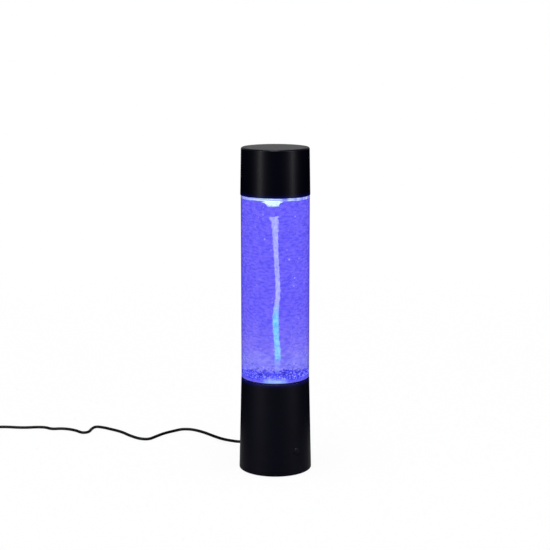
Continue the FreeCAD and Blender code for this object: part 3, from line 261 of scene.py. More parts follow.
@dataclass(frozen=True)
class MouldedPlastic(Finish):
    """Injection-moulded plastic: a spark-eroded grain breaks its highlights up softly.

    The real grain is about 0.1 mm and is drawn as coarse as it needs to show. A part next to the
    tank also takes a faint painted blue glow, the tank's light painted as emission, which fades out
    over the height reach below its edge, or above it where reach is negative.
    """

    colour: str = "#808080"
    paler: str = "#909090"
    rough: float = 0.45
    grain: float = 0.35
    depth: float = 0.02
    shine: float = 0.5
    edge: float = 0.0
    reach: float = 0.0
    flow_marks: float = 18.0
    dust_gap: float = 2.6
    dust: str = "#4A4A4E"
    painted_tank_glow: str = "#06084A"

    def wire(self, tree: Tree, place: Socket) -> Inputs:
        """Grain as bump and roughness, faint flow marks and dust as colour.

        Args:
            tree: the material's tree.
            place: object coordinates.

        Returns:
            What the shader's inputs take.
        """
        grains = add(tree, NOISE, {"Vector": place, "Scale": per(self.grain), "Detail": 3.0})
        flow = add(tree, NOISE, {"Vector": place, "Scale": per(self.flow_marks), "Detail": 1.0})
        tone = add(tree, RANGE, {0: flow, **SPREAD})
        body = add(tree, MIX, {0: tone, 6: self.colour, 7: self.paler})
        cells = add(tree, CELLS, {"Vector": place, "Scale": per(self.dust_gap)})
        specks = add(tree, RANGE, {0: cells, 1: 0.02, 2: 0.09, 3: 0.4, 4: 0.0})
        dusty = add(tree, MATH, {0: specks, 1: tone}, operation="MULTIPLY")
        inputs = {
            "Base Color": add(tree, MIX, {0: dusty, 6: body, 7: self.dust}),
            "Roughness": add(tree, RANGE, {0: grains, **SPREAD, 3: self.rough - 0.05, 4: self.rough + 0.07}),
            "Specular IOR Level": self.shine,
            "Normal": add(tree, BUMP, {"Height": grains, "Strength": 0.5, "Distance": self.depth * MM}),
        }
        # Painted light: a faint blue glow of the tank, painted as emission, fading away from the edge
        if self.reach:
            z = add(tree, SPLIT, {0: place}).outputs[2]
            near = add(tree, RANGE, {0: z, 1: (self.edge - self.reach) * MM, 2: self.edge * MM})
            share = add(tree, MATH, {0: near, 1: 2.0}, operation="POWER")
            inputs["Emission Color"] = add(tree, MIX, {0: share, 6: BLACK, 7: self.painted_tank_glow})
            inputs["Emission Strength"] = 1.0
        return inputs


@dataclass(frozen=True)
class Rubber(Finish):
    """Moulded rubber or silicone: a dull, slightly uneven skin with pits.

    The real pits are finer and are drawn as coarse as they need to show.
    """

    colour: str = "#202020"
    paler: str = "#2C2C2C"
    rough: float = 0.7
    clear: float = 0.0
    pit: float = 0.5
    cloud: float = 6.0

    def wire(self, tree: Tree, place: Socket) -> Inputs:
        """Soft mottling and a fine pitted bump.

        Args:
            tree: the material's tree.
            place: object coordinates.

        Returns:
            What the shader's inputs take.
        """
        pits = add(tree, NOISE, {"Vector": place, "Scale": per(self.pit), "Detail": 4.0})
        cloud = add(tree, NOISE, {"Vector": place, "Scale": per(self.cloud)})
        tone = add(tree, RANGE, {0: cloud, **SPREAD})
        return {
            "Base Color": add(tree, MIX, {0: tone, 6: self.colour, 7: self.paler}),
            "Roughness": add(tree, RANGE, {0: pits, **SPREAD, 3: self.rough - 0.08, 4: self.rough + 0.1}),
            "Subsurface Weight": self.clear,
            "Subsurface Scale": 2 * MM,
            "Normal": add(tree, BUMP, {"Height": pits, "Strength": 0.4, "Distance": 0.03 * MM}),
        }


@dataclass(frozen=True)
class Metal(Finish):
    """Bare or plated metal, drawn or turned: fine lines run round it or along it.

    The real lines are finer and are drawn as coarse as they need to show.
    """

    colour: str = "#B0B0B4"
    darker: str = "#8C8C90"
    rough: float = 0.3
    lines: Spot = (2.0, 2.0, 0.12)
    tarnish: float = 3.0

    def wire(self, tree: Tree, place: Socket) -> Inputs:
        """Lines as roughness and bump, a slight tarnish as colour.

        Args:
            tree: the material's tree.
            place: object coordinates.

        Returns:
            What the shader's inputs take.
        """
        drawn = add(tree, SCALED, {"Vector": place, "Scale": tuple(per(size) for size in self.lines)})
        lines = add(tree, NOISE, {"Vector": drawn, "Scale": 1.0, "Detail": 3.0})
        tarnish = add(tree, NOISE, {"Vector": place, "Scale": per(self.tarnish), "Detail": 3.0})
        tone = add(tree, RANGE, {0: tarnish, **SPREAD, 4: 0.6})
        return {
            "Base Color": add(tree, MIX, {0: tone, 6: self.colour, 7: self.darker}),
            "Metallic": 1.0,
            "Roughness": add(tree, RANGE, {0: lines, **SPREAD, 3: self.rough - 0.08, 4: self.rough + 0.12}),
            "Normal": add(tree, BUMP, {"Height": lines, "Strength": 0.3, "Distance": 0.01 * MM}),
        }


@dataclass(frozen=True)
class WoundCopper(Finish):
    """Enamelled copper wire laid in turns, with painted shade in the grooves between them."""

    wire_size: float = 0.35
    tone_size: float = 1.4
    colour: str = "#B4622E"
    darker: str = "#7E3D1B"
    gap: str = "#2A1710"

    def wire(self, tree: Tree, place: Socket) -> Inputs:
        """Bands of wire, each with its own tone.

        Args:
            tree: the material's tree.
            place: object coordinates.

        Returns:
            What the shader's inputs take.
        """
        scale = per(self.wire_size) * WAVE_SCALE
        turns = add(tree, WAVES, {"Vector": place, "Scale": scale, "Distortion": 0.6, "Detail": 1.0},
                    bands_direction="Z").outputs["Fac"]
        tone = add(tree, NOISE, {"Vector": place, "Scale": per(self.tone_size)})
        copper = add(tree, MIX, {0: add(tree, RANGE, {0: tone, **SPREAD}), 6: self.colour, 7: self.darker})
        # Painted shade: the gap colour darkens the grooves between the turns
        shown = add(tree, RANGE, {0: turns, 1: 0.1, 2: 0.4})
        return {
            "Base Color": add(tree, MIX, {0: shown, 6: self.gap, 7: copper}),
            "Metallic": 0.8,
            "Roughness": add(tree, RANGE, {0: turns, 3: 0.5, 4: 0.25}),
            "Coat Weight": 0.4,
            "Normal": add(tree, BUMP, {"Height": turns, "Strength": 0.6, "Distance": 0.08 * MM}),
        }


@dataclass(frozen=True)
class CircuitBoard(Finish):
    """Solder mask over glass cloth: tracks show as slightly paler, raised bands."""

    colour: str = "#14502C"
    track: str = "#1E6B3C"
    track_gap: float = 3.2
    cloth: float = 0.5

    def wire(self, tree: Tree, place: Socket) -> Inputs:
        """Tracks from square cells, and the cloth's weave as bump.

        Args:
            tree: the material's tree.
            place: object coordinates.

        Returns:
            What the shader's inputs take.
        """
        cells = add(tree, CELLS, {"Vector": place, "Scale": per(self.track_gap), "Randomness": 0.6},
                    distance="CHEBYCHEV", feature="F2")
        folds = add(tree, MATH, {0: cells, 1: 0.22}, operation="PINGPONG")
        tracks = add(tree, RANGE, {0: folds, 1: 0.09, 2: 0.12})
        weave = add(tree, WAVES, {"Vector": place, "Scale": per(self.cloth) * WAVE_SCALE}).outputs["Fac"]
        raised = add(tree, MATH, {0: weave, 1: 0.15, 2: tracks}, operation="MULTIPLY_ADD")
        return {
            "Base Color": add(tree, MIX, {0: tracks, 6: self.colour, 7: self.track}),
            "Roughness": add(tree, RANGE, {0: weave, 3: 0.28, 4: 0.4}),
            "Normal": add(tree, BUMP, {"Height": raised, "Strength": 0.5, "Distance": 0.04 * MM}),
        }


@dataclass(frozen=True)
class LampResin(Finish):
    """Clear moulded lens over a lit chip: blue-white at its core, violet at its skirt."""

    skin: str = "#C8CCFF"
    skirt: str = "#5A60FF"
    core: str = "#B8F0FF"
    bloom: float = 2.5
    glow: float = 2.2

    def wire(self, tree: Tree, place: Socket) -> Inputs:
        """Uneven light through the lens.

        Args:
            tree: the material's tree.
            place: object coordinates.

        Returns:
            What the shader's inputs take.
        """
        bloom = add(tree, NOISE, {"Vector": place, "Scale": per(self.bloom), "Detail": 1.0})
        colour = add(tree, MIX, {0: add(tree, RANGE, {0: bloom, **SPREAD}), 6: self.skirt, 7: self.core})
        return {
            "Base Color": self.skin,
            "Roughness": add(tree, RANGE, {0: bloom, 3: 0.05, 4: 0.15}),
            "Emission Color": colour,
            "Emission Strength": self.glow,
        }


@dataclass(frozen=True)
class ClearAcrylic(Finish):
    """Extruded clear acrylic, flame-polished: nearly clear, darker by painted shade where the eye grazes its
    wall.
    """

    tint: str = "#FBFBFF"
    edge: str = "#D6D6DE"
    rough: float = 0.0
    gloss: str = "#2A2060"
    smears: float = 22.0

    def wire(self, tree: Tree, place: Socket) -> Inputs:
        """Painted shade at grazing angles and a few smears of handling.

        Args:
            tree: the material's tree.
            place: object coordinates.

        Returns:
            What the shader's inputs take.
        """
        smear = add(tree, NOISE, {"Vector": place, "Scale": per(self.smears), "Detail": 3.0})
        # Painted shade: the tint turns to the darker edge colour where the wall is seen edge-on
        facing = add(tree, "ShaderNodeLayerWeight", {"Blend": 0.5}).outputs["Facing"]
        grazing_painted_shade = add(tree, RANGE, {0: facing, 1: 0.74, 2: 0.95})
        return {
            "Base Color": add(tree, MIX, {0: grazing_painted_shade, 6: self.tint, 7: self.edge}),
            "IOR": 1.49,
            "Specular Tint": self.gloss,
            "Transmission Weight": 1.0,
            "Roughness": add(tree, RANGE, {0: smear, 1: 0.6, 2: 0.9, 3: self.rough, 4: self.rough + 0.02}),
        }


@dataclass(frozen=True)
class LitWater(Finish):
    """Water full of fine bubbles, lit violet from below: glows evenly by painted light, speckled by the
    bubbles.

    The real speckle is about 1 mm and is drawn as coarse as it needs to show. The painted darker
    band of glow over the tank floor stands a little higher at the front.
    """

    tint: str = "#444489"
    low_tint: str = "#6E6EB4"
    # Painted glow by height: a darker band just over the bed, paler above it, then violet to the level
    stops: Stops = (
        (0.0, "#3838A4"), (0.041, "#3434A2"), (0.054, "#6662B8"), (0.1, "#6864B8"), (0.17, "#6256B8"),
        (0.27, "#574BB8"), (0.38, "#4F41B9"), (1.0, "#4F42BB"))
    clear_to: float = 110.0
    shade_band_lift: float = 0.07
    drift: float = 16.0
    speck: float = 4.4
    squat: float = 0.45
    speck_heights: Pair = (175.0, 100.0)
    speck_gain: Pair = (0.52, 0.28)
    patches: float = 9.0
    fleck_gap: float = 6.5
    painted_glint: str = "#C8C8FF"
    gloss: str = "#2A2060"

    def wire(self, tree: Tree, place: Socket) -> Inputs:
        """Painted glow: height gradient times the bubbles' speckle, both as light, and clearer next to the
        bed.

        Args:
            tree: the material's tree.
            place: object coordinates.

        Returns:
            What the shader's inputs take.
        """
        z = add(tree, SPLIT, {0: place}).outputs[2]
        cloud = add(tree, NOISE, {"Vector": place, "Scale": per(self.drift), "Detail": 3.0})
        drift = add(tree, RANGE, {0: cloud, **SPREAD, 3: -0.01, 4: 0.01})
        # Painted shade: the dark band sits higher on the front side
        sunk = add(tree, MATH, {0: towards(tree, place, FRONT), 1: -self.shade_band_lift, 2: z},
                   operation="MULTIPLY_ADD")
        share = add(tree, RANGE, {0: sunk, 1: BED * MM, 2: LEVEL * MM})
        uneven = add(tree, MATH, {0: share, 1: drift}, operation="ADD")
        shade = add(tree, RAMP, {0: uneven}, stops=self.stops)
        scale = (per(self.speck), per(self.speck), per(self.speck * self.squat))
        flat = add(tree, SCALED, {"Vector": place, "Scale": scale})
        speckle = add(tree, NOISE, {"Vector": flat, "Scale": 1.0, "Detail": 0.5})
        high, low = self.speck_heights
        strong = add(tree, RANGE, {0: z, 1: high * MM, 2: low * MM, 3: self.speck_gain[0],
                                   4: self.speck_gain[1]})
        swing = add(tree, RANGE, {0: speckle, 1: 0.33, 2: 0.7, 3: -0.8, 4: 1.0})
        patches = add(tree, NOISE, {"Vector": place, "Scale": per(self.patches)})
        mottle = add(tree, RANGE, {0: patches, **SPREAD, 3: 0.84, 4: 1.16})
        gain = add(tree, MATH, {0: swing, 1: strong, 2: mottle}, operation="MULTIPLY_ADD")
        # Blue changes least, as in light that has come through blue water
        steady = add(tree, RANGE, {0: gain, 1: 0.4, 2: 1.6, 3: 0.9, 4: 1.06})
        grey = add(tree, GREY, {0: gain, 1: gain, 2: steady})
        body = add(tree, MIX, {0: 1.0, 6: shade, 7: grey}, blend_type="MULTIPLY")
        # Painted glints: bright flecks where bubbles catch the light
        cells = add(tree, CELLS, {"Vector": place, "Scale": per(self.fleck_gap)})
        glint_flecks = add(tree, RANGE, {0: cells, 1: 0.08, 2: 0.2, 3: 1.0, 4: 0.0})
        chance = add(tree, "ShaderNodeSeparateColor", {0: cells.outputs["Color"]})
        kept = add(tree, RANGE, {0: chance, 1: 0.4, 2: 1.0, 4: 0.5})
        chosen = add(tree, MATH, {0: glint_flecks, 1: kept}, operation="MULTIPLY")
        clear = add(tree, RANGE, {0: z, 1: (BED + 1) * MM, 2: self.clear_to * MM})
        return {
            "Base Color": add(tree, MIX, {0: clear, 6: self.low_tint, 7: self.tint}),
            "Roughness": 0.0,
            "IOR": 1.33,
            "Specular Tint": self.gloss,
            "Transmission Weight": 1.0,
            "Emission Color": add(tree, MIX, {0: chosen, 6: body, 7: self.painted_glint}),
            "Emission Strength": 1.0,
        }


@dataclass(frozen=True)
class WetWall(Finish):
    """Film of water on the wall above the level: painted violet glow, painted highlights on wavering contact
    lines.

    Each line has its height and half width. bright gives the painted highlights' strength round the
    wall, from behind at 0 by the left and the front at 0.5 to behind again at 1.
    """

    lines: tuple[Pair, ...] = ((284.4, 0.6), (285.9, 0.35))
    waver: float = 0.5
    wave_size: float = 14.0
    bright: tuple[Pair, ...] = (
        (0.0, 0.1), (0.29, 0.12), (0.34, 0.5), (0.39, 0.85), (0.44, 1.0), (0.5, 0.8), (0.53, 0.7),
        (0.54, 0.1), (0.556, 0.1), (0.57, 1.0), (0.59, 0.8), (0.61, 0.2), (0.62, 0.9), (0.64, 0.4),
        (0.655, 0.1), (0.665, 0.8), (0.675, 0.1), (0.69, 0.9), (0.7, 0.1), (1.0, 0.1))

    def wire(self, tree: Tree, place: Socket) -> Inputs:
        """Height with a waver in it places the painted highlight lines, and the direction breaks them up.

        Args:
            tree: the material's tree.
            place: object coordinates.

        Returns:
            What the shader's inputs take.
        """
        z = add(tree, MATH, {0: add(tree, SPLIT, {0: place}).outputs[2], 1: 1 / MM}, operation="MULTIPLY")
        wave = add(tree, NOISE, {"Vector": place, "Scale": per(self.wave_size)})
        swing = add(tree, RANGE, {0: wave, **SPREAD, 3: -self.waver, 4: self.waver})
        wavy = add(tree, MATH, {0: z, 1: swing}, operation="ADD")
        lit: Any = 0.0
        for level, width in self.lines:
            gap = add(tree, MATH, {0: wavy, 1: level}, operation="SUBTRACT")
            off = add(tree, MATH, {0: gap}, operation="ABSOLUTE")
            line = add(tree, RANGE, {0: off, 1: width * 0.4, 2: width * 1.6, 3: 1.0, 4: 0.0})
            lit = add(tree, MATH, {0: lit, 1: line}, operation="MAXIMUM")
        share = add(tree, RANGE, {0: turn_from(tree, place, FRONT), 1: -math.pi, 2: math.pi})
        # Painted highlights: strongest towards the front, broken up round the wall
        broken = add(tree, RAMP, {0: share}, stops=[(at, grey_code(much)) for at, much in self.bright])
        shown = add(tree, MATH, {0: lit, 1: broken}, operation="MULTIPLY")
        # Painted violet glow, and the painted cyan white highlight colour on the lines
        calm = add(tree, MIX, {0: wave, 6: "#4A48C8", 7: "#6C66F0"})
        colour = add(tree, MIX, {0: shown, 6: calm, 7: "#E0FCFF"})
        rough = add(tree, RANGE, {0: wave, 3: 0.05, 4: 0.12})
        return {**glowing(colour, 1.2, rough, 0.02), "Alpha": 0.6}


@dataclass(frozen=True)
class LitJoint(Finish):
    """Cast acrylic floor's edge and its solvent joint: painted violet glow, painted pools of light beside
    every second lamp.
    """

    line: float = 98.1
    lamps: int = 3
    cloud: float = 4.0

    def wire(self, tree: Tree, place: Socket) -> Inputs:
        """Angle round the axis gives the painted pools of the lamps' light, height the painted bright line
        of the joint and the painted shade below it.

        Args:
            tree: the material's tree.
            place: object coordinates.

        Returns:
            What the shader's inputs take.
        """
        z = add(tree, MATH, {0: add(tree, SPLIT, {0: place}).outputs[2], 1: 1 / MM}, operation="MULTIPLY")
        turned = add(tree, MATH, {0: turn_from(tree, place, FRONT), 1: float(self.lamps)},
                     operation="MULTIPLY")
        beam = add(tree, MATH, {0: turned}, operation="COSINE")
        cloud = add(tree, NOISE, {"Vector": place, "Scale": per(self.cloud), "Detail": 3.0})
        tone = add(tree, RANGE, {0: cloud, **SPREAD})
        # Painted glow, paler blue in the painted pools of lamp light
        calm = add(tree, MIX, {0: tone, 6: "#5450F0", 7: "#6C66F8"})
        bright = add(tree, MIX, {0: tone, 6: "#7CA0FF", 7: "#A8C8FF"})
        body = add(tree, MIX, {0: add(tree, RANGE, {0: beam, 1: 0.3, 2: 0.85}), 6: calm, 7: bright})
        wide = add(tree, RANGE, {0: beam, 1: -0.2, 2: 0.6})
        edge = add(tree, MIX, {0: wide, 6: "#7068F0", 7: "#94A8FF"})
        # Painted light and shade: a brighter edge colour round the joint line, and below it the glow nearly
        # gone, painted shadow of the base's rim
        low = add(tree, RANGE, {0: z, 1: self.line + 0.1, 2: self.line + 0.5, 3: 1.0, 4: 0.0})
        above = add(tree, RANGE, {0: z, 1: self.line - 0.5, 2: self.line, 3: 0.03})
        colour = add(tree, MIX, {0: low, 6: body, 7: edge})
        return glowing(colour, above, add(tree, RANGE, {0: cloud, 3: 0.1, 4: 0.2}), 0.02, "#080818")


@dataclass(frozen=True)
class LitFloor(Finish):
    """Top of the cast acrylic floor under water: painted deep blue glow, mottled, with a painted pool of
    light beside the front lamp.
    """

    dark: str = "#1010C0"
    pale: str = "#5858FF"
    inner: float = 12.0
    fade: float = 4.0
    blot: float = 3.4
    lamp: str = "#A4D0FF"
    glow: float = 1.1
    lamp_glow: float = 1.7

    def wire(self, tree: Tree, place: Socket) -> Inputs:
        """Angle and distance give the painted pool of the lamp's light, noise the mottling.

        Args:
            tree: the material's tree.
            place: object coordinates.

        Returns:
            What the shader's inputs take.
        """
        # Painted pool of lamp light on the front side, kept off the middle and broken by the blots
        front = add(tree, MATH, {0: turn_from(tree, place, FRONT)}, operation="COSINE")
        beam = add(tree, RANGE, {0: front, 1: 0.86, 2: 0.96})
        out = off_axis(tree, place)
        far = add(tree, RANGE, {0: out, 1: self.inner * MM, 2: (self.inner + self.fade) * MM})
        blot = add(tree, NOISE, {"Vector": place, "Scale": per(self.blot), "Detail": 2.0})
        tone = add(tree, RANGE, {0: blot, 1: 0.4, 2: 0.6})
        broken = add(tree, MATH, {0: far, 1: add(tree, RANGE, {0: tone, 3: 0.55, 4: 1.0})},
                     operation="MULTIPLY")
        patch = add(tree, MATH, {0: beam, 1: broken}, operation="MULTIPLY")
        bed = add(tree, MIX, {0: tone, 6: self.dark, 7: self.pale})
        colour = add(tree, MIX, {0: patch, 6: bed, 7: self.lamp})
        strength = add(tree, RANGE, {0: patch, 3: self.glow, 4: self.lamp_glow})
        return glowing(colour, strength, add(tree, RANGE, {0: blot, 3: 0.15, 4: 0.3}), 0.05, "#080818")


@dataclass(frozen=True)
class WaterSurface(Finish):
    """The water's top seen from above: painted highlights round the mouth and at the wall, painted violet
    glow between.
    """

    rim: Pair = (28.8, 30.2)
    mouth: Pair = (10.0, 14.0)
    ripple: float = 6.0

    def wire(self, tree: Tree, place: Socket) -> Inputs:
        """Distance from the middle and stretched noise give the bright crests.

        Args:
            tree: the material's tree.
            place: object coordinates.

        Returns:
            What the shader's inputs take.
        """
        out = off_axis(tree, place)
        rim = add(tree, RANGE, {0: out, 1: self.rim[0] * MM, 2: self.rim[1] * MM, 4: 0.3})
        near = add(tree, RANGE, {0: out, 1: self.mouth[0] * MM, 2: self.mouth[1] * MM, 3: 0.9, 4: 0.0})
        ripple = add(tree, NOISE, {"Vector": place, "Scale": per(self.ripple), "Distortion": 1.5})
        crest = add(tree, RANGE, {0: ripple, 1: 0.56, 2: 0.66, 4: 0.6})
        edges = add(tree, MATH, {0: rim, 1: near}, operation="MAXIMUM")
        lit = add(tree, MATH, {0: edges, 1: crest}, operation="MAXIMUM")
        # Painted violet glow, with the painted cyan white highlight colour on the crests
        calm = add(tree, MIX, {0: ripple, 6: "#4038C0", 7: "#7C78F8"})
        colour = add(tree, MIX, {0: lit, 6: calm, 7: "#D0FCFF"})
        return glowing(colour, 1.4, add(tree, RANGE, {0: ripple, 3: 0.08, 4: 0.15}), 0.1)


@dataclass(frozen=True)
class LitAir(Finish):
    """Air in the water, which catches the light, painted as glow: its colour goes by height, from bed to
    level.
    """

    stops: Stops = ((0.0, "#A0A0FF"), (1.0, "#FFFFFF"))
    glow: float = 1.4
    solid: float = 1.0
    strand: Spot = (1.6, 1.6, 5.0)

    def wire(self, tree: Tree, place: Socket) -> Inputs:
        """Height ramp broken up by fine strands.

        Args:
            tree: the material's tree.
            place: object coordinates.

        Returns:
            What the shader's inputs take.
        """
        z = add(tree, SPLIT, {0: place}).outputs[2]
        share = add(tree, RANGE, {0: z, 1: BED * MM, 2: LEVEL * MM})
        shade = add(tree, RAMP, {0: share}, stops=self.stops)
        drawn = add(tree, SCALED, {"Vector": place, "Scale": tuple(per(size) for size in self.strand)})
        strand = add(tree, NOISE, {"Vector": drawn, "Scale": 1.0})
        gain = add(tree, RANGE, {0: strand, **SPREAD, 3: 0.7, 4: 1.25})
        grey = add(tree, GREY, {0: gain, 1: gain, 2: gain})
        colour = add(tree, MIX, {0: 1.0, 6: shade, 7: grey}, blend_type="MULTIPLY")
        rough = add(tree, RANGE, {0: strand, 3: 0.1, 4: 0.3})
        return {**glowing(colour, self.glow, rough, 0.0), "Alpha": self.solid}


class Choice(Enum):
    """A choice among finishes."""

    def material(self) -> bpy.types.Material:
        """The chosen finish's material."""
        return self.value.material()


class Plastic(Choice):
    """The lamp's moulded plastics."""

    # Satin ABS: near black, a soft sheen, and on base and cap a painted blue glow where they meet the lit
    # tank
    HOUSING = MouldedPlastic("satin_black_abs", "#04040A", "#06060D", 0.42, 0.4, 0.01, 0.02)
    BASE = MouldedPlastic("satin_black_base_abs", "#040410", "#060614", 0.45, 0.4, 0.01, 0.018,
                          BASE_RIM, 4.0)
    CAP = MouldedPlastic("satin_black_cap_abs", "#01010C", "#03030F", 0.35, 0.4, 0.01, 0.012,
                         CAP_RIM, -5.0)
    # Same resin off a duller tool: a greyer black with almost no sheen
    COVER = MouldedPlastic("matt_black_abs", "#09090B", "#0E0E11", 0.5, 0.4, 0.02, 0.2)
    # Same resin off a finer tool: as the base, with a slightly finer grain
    BUTTON = MouldedPlastic("satin_black_button", "#040412", "#060616", 0.42, 0.3, 0.01, 0.024)
    # Glass-filled nylon: charcoal, dull and faintly cloudy
    SWITCH = MouldedPlastic("black_switch_nylon", "#141416", "#1C1C20", 0.5, 0.3, 0.02)
    # Undyed nylon: milky, faintly yellow
    NATURAL = MouldedPlastic("natural_nylon", "#D8D4C6", "#E4E0D2", 0.45, 0.3, 0.02)
    # Unpainted ABS: a grey white
    BRACKET = MouldedPlastic("grey_white_abs", "#CFCFC9", "#DCDCD6", 0.4, 0.35, 0.02)
    # Fine polished ABS: a clean, slightly shiny white
    WHEEL = MouldedPlastic("white_impeller_abs", "#E4E4EA", "#F0F0F4", 0.3, 0.3, 0.01)
    # Cast epoxy of chips and capacitors: charcoal, matt
    PARTS = MouldedPlastic("black_component_epoxy", "#16161A", "#222226", 0.5, 0.2, 0.02)
    # Soft vinyl: black with a dull sheen on plug and cord, brick red on the leads
    PLUG = MouldedPlastic("black_plug_vinyl", "#08080A", "#0E0E11", 0.48, 0.3, 0.02, 0.08)
    CORD = MouldedPlastic("black_cord_vinyl", "#040406", "#08080A", 0.5, 0.5, 0.015, 0.02)
    LEAD = MouldedPlastic("red_lead_vinyl", "#8E1A14", "#A52219", 0.4, 0.3, 0.01)
    # Hard smooth plastic: a plain white
    TONGUE = MouldedPlastic("white_tongue_plastic", "#E8E8E6", "#F2F2F0", 0.35, 0.2, 0.01)
    # Pressed and sintered: dark grey, granular
    FERRITE = MouldedPlastic("sintered_ferrite", "#1C1C1E", "#2E2E30", 0.6, 0.25, 0.04)


class Soft(Choice):
    """The lamp's rubbers and silicones."""

    # Filled rubber: charcoal and quite dull
    FOOT = Rubber("black_foot_rubber", "#1A1A1B", "#262628", 0.75)
    # Silicone lets a little light into itself: chalky white seal, milky grey stopper
    SEAL = Rubber("white_seal_silicone", "#DCDAD2", "#E8E6E0", 0.6, 0.2)
    STOPPER = Rubber("frosted_stopper_silicone", "#CFCFD6", "#DEDEE4", 0.55, 0.3)


class Bare(Choice):
    """The lamp's metals."""

    # Zinc plate: bluish silver, with the turned lines of the screw under it
    SCREW = Metal("zinc_plated_screw", "#B4B6BC", "#8E9098", 0.3, (0.6, 0.6, 0.1))
    # Nickel plate: warm silver with sharp highlights
    MAGNET = Metal("nickel_plated_magnet", "#C8C6BE", "#A8A69E", 0.16)
    # Ground steel: cool silver, nearly a mirror
    PIN = Metal("ground_steel", "#B8BAC0", "#9A9CA4", 0.14)
    # Drawn can with zinc on it: grey silver, blurred
    CAN = Metal("zinc_motor_can", "#AEB2B6", "#8C9094", 0.34)
    # Porous oiled bronze: brown gold, blurred the same in all directions
    BUSH = Metal("sintered_bronze", "#C0984E", "#94703A", 0.38, (0.3, 0.3, 0.3))
    # Tin plate: soft silver, with the rolled lines along the plug
    SHELL = Metal("tinned_plug_steel", "#BEC0C4", "#9EA0A6", 0.22, (0.1, 1.5, 1.5))
    # Gold flash: yellow with sharp highlights
    CONTACT = Metal("gold_plated_contact", "#E2B84E", "#B98F38", 0.14, (0.1, 1.0, 1.0))


class Wired(Choice):
    """The circuit boards and the motor's winding."""

    # Green mask over fibreglass: mid green, the copper below a shade paler
    GREEN = CircuitBoard("green_board_laminate")
    # White mask: off-white, so that the ring board throws the lamps' light up
    WHITE = CircuitBoard("white_ring_laminate", "#DCDCDA", "#E8E8E6")
    # Varnished copper: red brown and glossy, with painted shade between the turns
    WINDING = WoundCopper("enamelled_copper")


class Lit(Choice):
    """What lets the light through or glows: acrylic, lenses, water and the air in it. The glow of all but
    the lenses is painted light.
    """

    # Clear wall: only its edges, darkened by painted shade, and a dim violet gloss show
    TUBE = ClearAcrylic("extruded_clear_acrylic")
    # Frosted lid: milky, blurs what is behind it, darker by painted shade at grazing edges
    LID = ClearAcrylic("frosted_lid_plastic", "#E8ECFA", "#C0C4D4", 0.25, "#FFFFFF")
    # Lit bed: painted deep blue glow with paler blots, a painted pale blue pool of light at the front lamp,
    # none over the well
    FLOOR = LitFloor("lit_floor_acrylic")
    WELL = LitFloor("lit_well_acrylic", "#1414C0", "#6E6EFF", 60.0)
    BED = LitFloor("lit_well_water", "#6C78FF", "#A8B8FF", 60.0)
    # Lamp lens: blue white with a violet skirt
    LENS = LampResin("lit_lamp_resin")
    # Aerated water: painted violet glow, paler and bluer below, speckled, with a painted darker band over
    # the floor
    WATER = LitWater("lit_bubbly_water")
    # Wet wall over the level: painted blue violet glow with two painted cyan white highlight lines
    FILM = WetWall("wet_tube_wall")
    # Edge of the floor: painted violet glow with painted pale blue pools of light at every second lamp
    JOINT = LitJoint("lit_floor_joint")
    # Surface: painted violet glow with painted cyan white highlight crests
    SURFACE = WaterSurface("lit_water_surface")
    # Core of the whirl: painted glow, cyan from near the bed to a third of the height, lilac above
    ROPE = LitAir("lit_whirl_air", ((0.0, "#8888E0"), (0.06, "#80A0F0"), (0.1, "#78E4FF"),
                                    (0.34, "#7CF4F4"), (0.42, "#BCC8FF"), (1.0, "#C0C8FF")), 3.0, 0.9)
    # Foam round the core: the same painted glow colours, half seen through
    SHEATH = LitAir("lit_whirl_sheath", ((0.0, "#9090E0"), (0.06, "#8CA8F0"), (0.1, "#80D8FF"),
                                         (0.34, "#80ECFF"), (0.42, "#C0C8FF"), (1.0, "#C4CCFF")), 2.6, 0.4)
    # Mouth of the whirl: dull violet painted glow in the throat, a nearly white painted highlight on the lip
    MOUTH = LitAir("lit_whirl_mouth", ((0.0, "#504C88"), (0.962, "#524E8A"), (0.97, "#D0F4FF"),
                                       (0.985, "#D8FFF8"), (1.0, "#D8FFFF")), 4.2)
    # Bubbles: painted lilac glow, brighter painted glints on ones next to the lamps, and painted shade in
    # dark blue on ones that face away
    BUBBLE = LitAir("lit_bubble_skin", ((0.0, "#A8A8FF"), (1.0, "#B4B4FF")), 1.1)
    BEAD = LitAir("bright_bubble_skin", ((0.0, "#B4B4FF"), (1.0, "#B4B4FF")), 1.8)
    GRIT = LitAir("dim_bubble_skin", ((0.0, "#1414A0"), (1.0, "#1414A0")), 1.0)


SLOT_FINISH: dict[str, Choice] = {
    "black_housing": Plastic.HOUSING,
    "cover_black": Plastic.COVER,
    "foot_rubber": Soft.FOOT,
    "screw_steel": Bare.SCREW,
    "clear_acrylic": Lit.TUBE,
    "floor_acrylic": Lit.FLOOR,
    "lit_water": Lit.WATER,
    "impeller_white": Plastic.WHEEL,
    "magnet_nickel": Bare.MAGNET,
    "steel": Bare.PIN,
    "motor_zinc": Bare.CAN,
    "brass_bush": Bare.BUSH,
    "motor_plastic": Plastic.NATURAL,
    "bracket_plastic": Plastic.BRACKET,
    "ferrite": Plastic.FERRITE,
    "copper_wound": Wired.WINDING,
    "lid_plastic": Lit.LID,
    "seal_silicone": Soft.SEAL,
    "stopper_silicone": Soft.STOPPER,
    "board_laminate": Wired.GREEN,
    "ring_laminate": Wired.WHITE,
    "lamp_resin": Lit.LENS,
    "socket_nylon": Plastic.NATURAL,
    "component_black": Plastic.PARTS,
    "switch_plastic": Plastic.SWITCH,
    "plunger_plastic": Plastic.NATURAL,
    "button_black": Plastic.BUTTON,
    "cord_pvc": Plastic.CORD,
    "wire_pvc": Plastic.LEAD,
    "plug_pvc": Plastic.PLUG,
    "plug_steel": Bare.SHELL,
    "tongue_plastic": Plastic.TONGUE,
    "contact_gold": Bare.CONTACT,
}
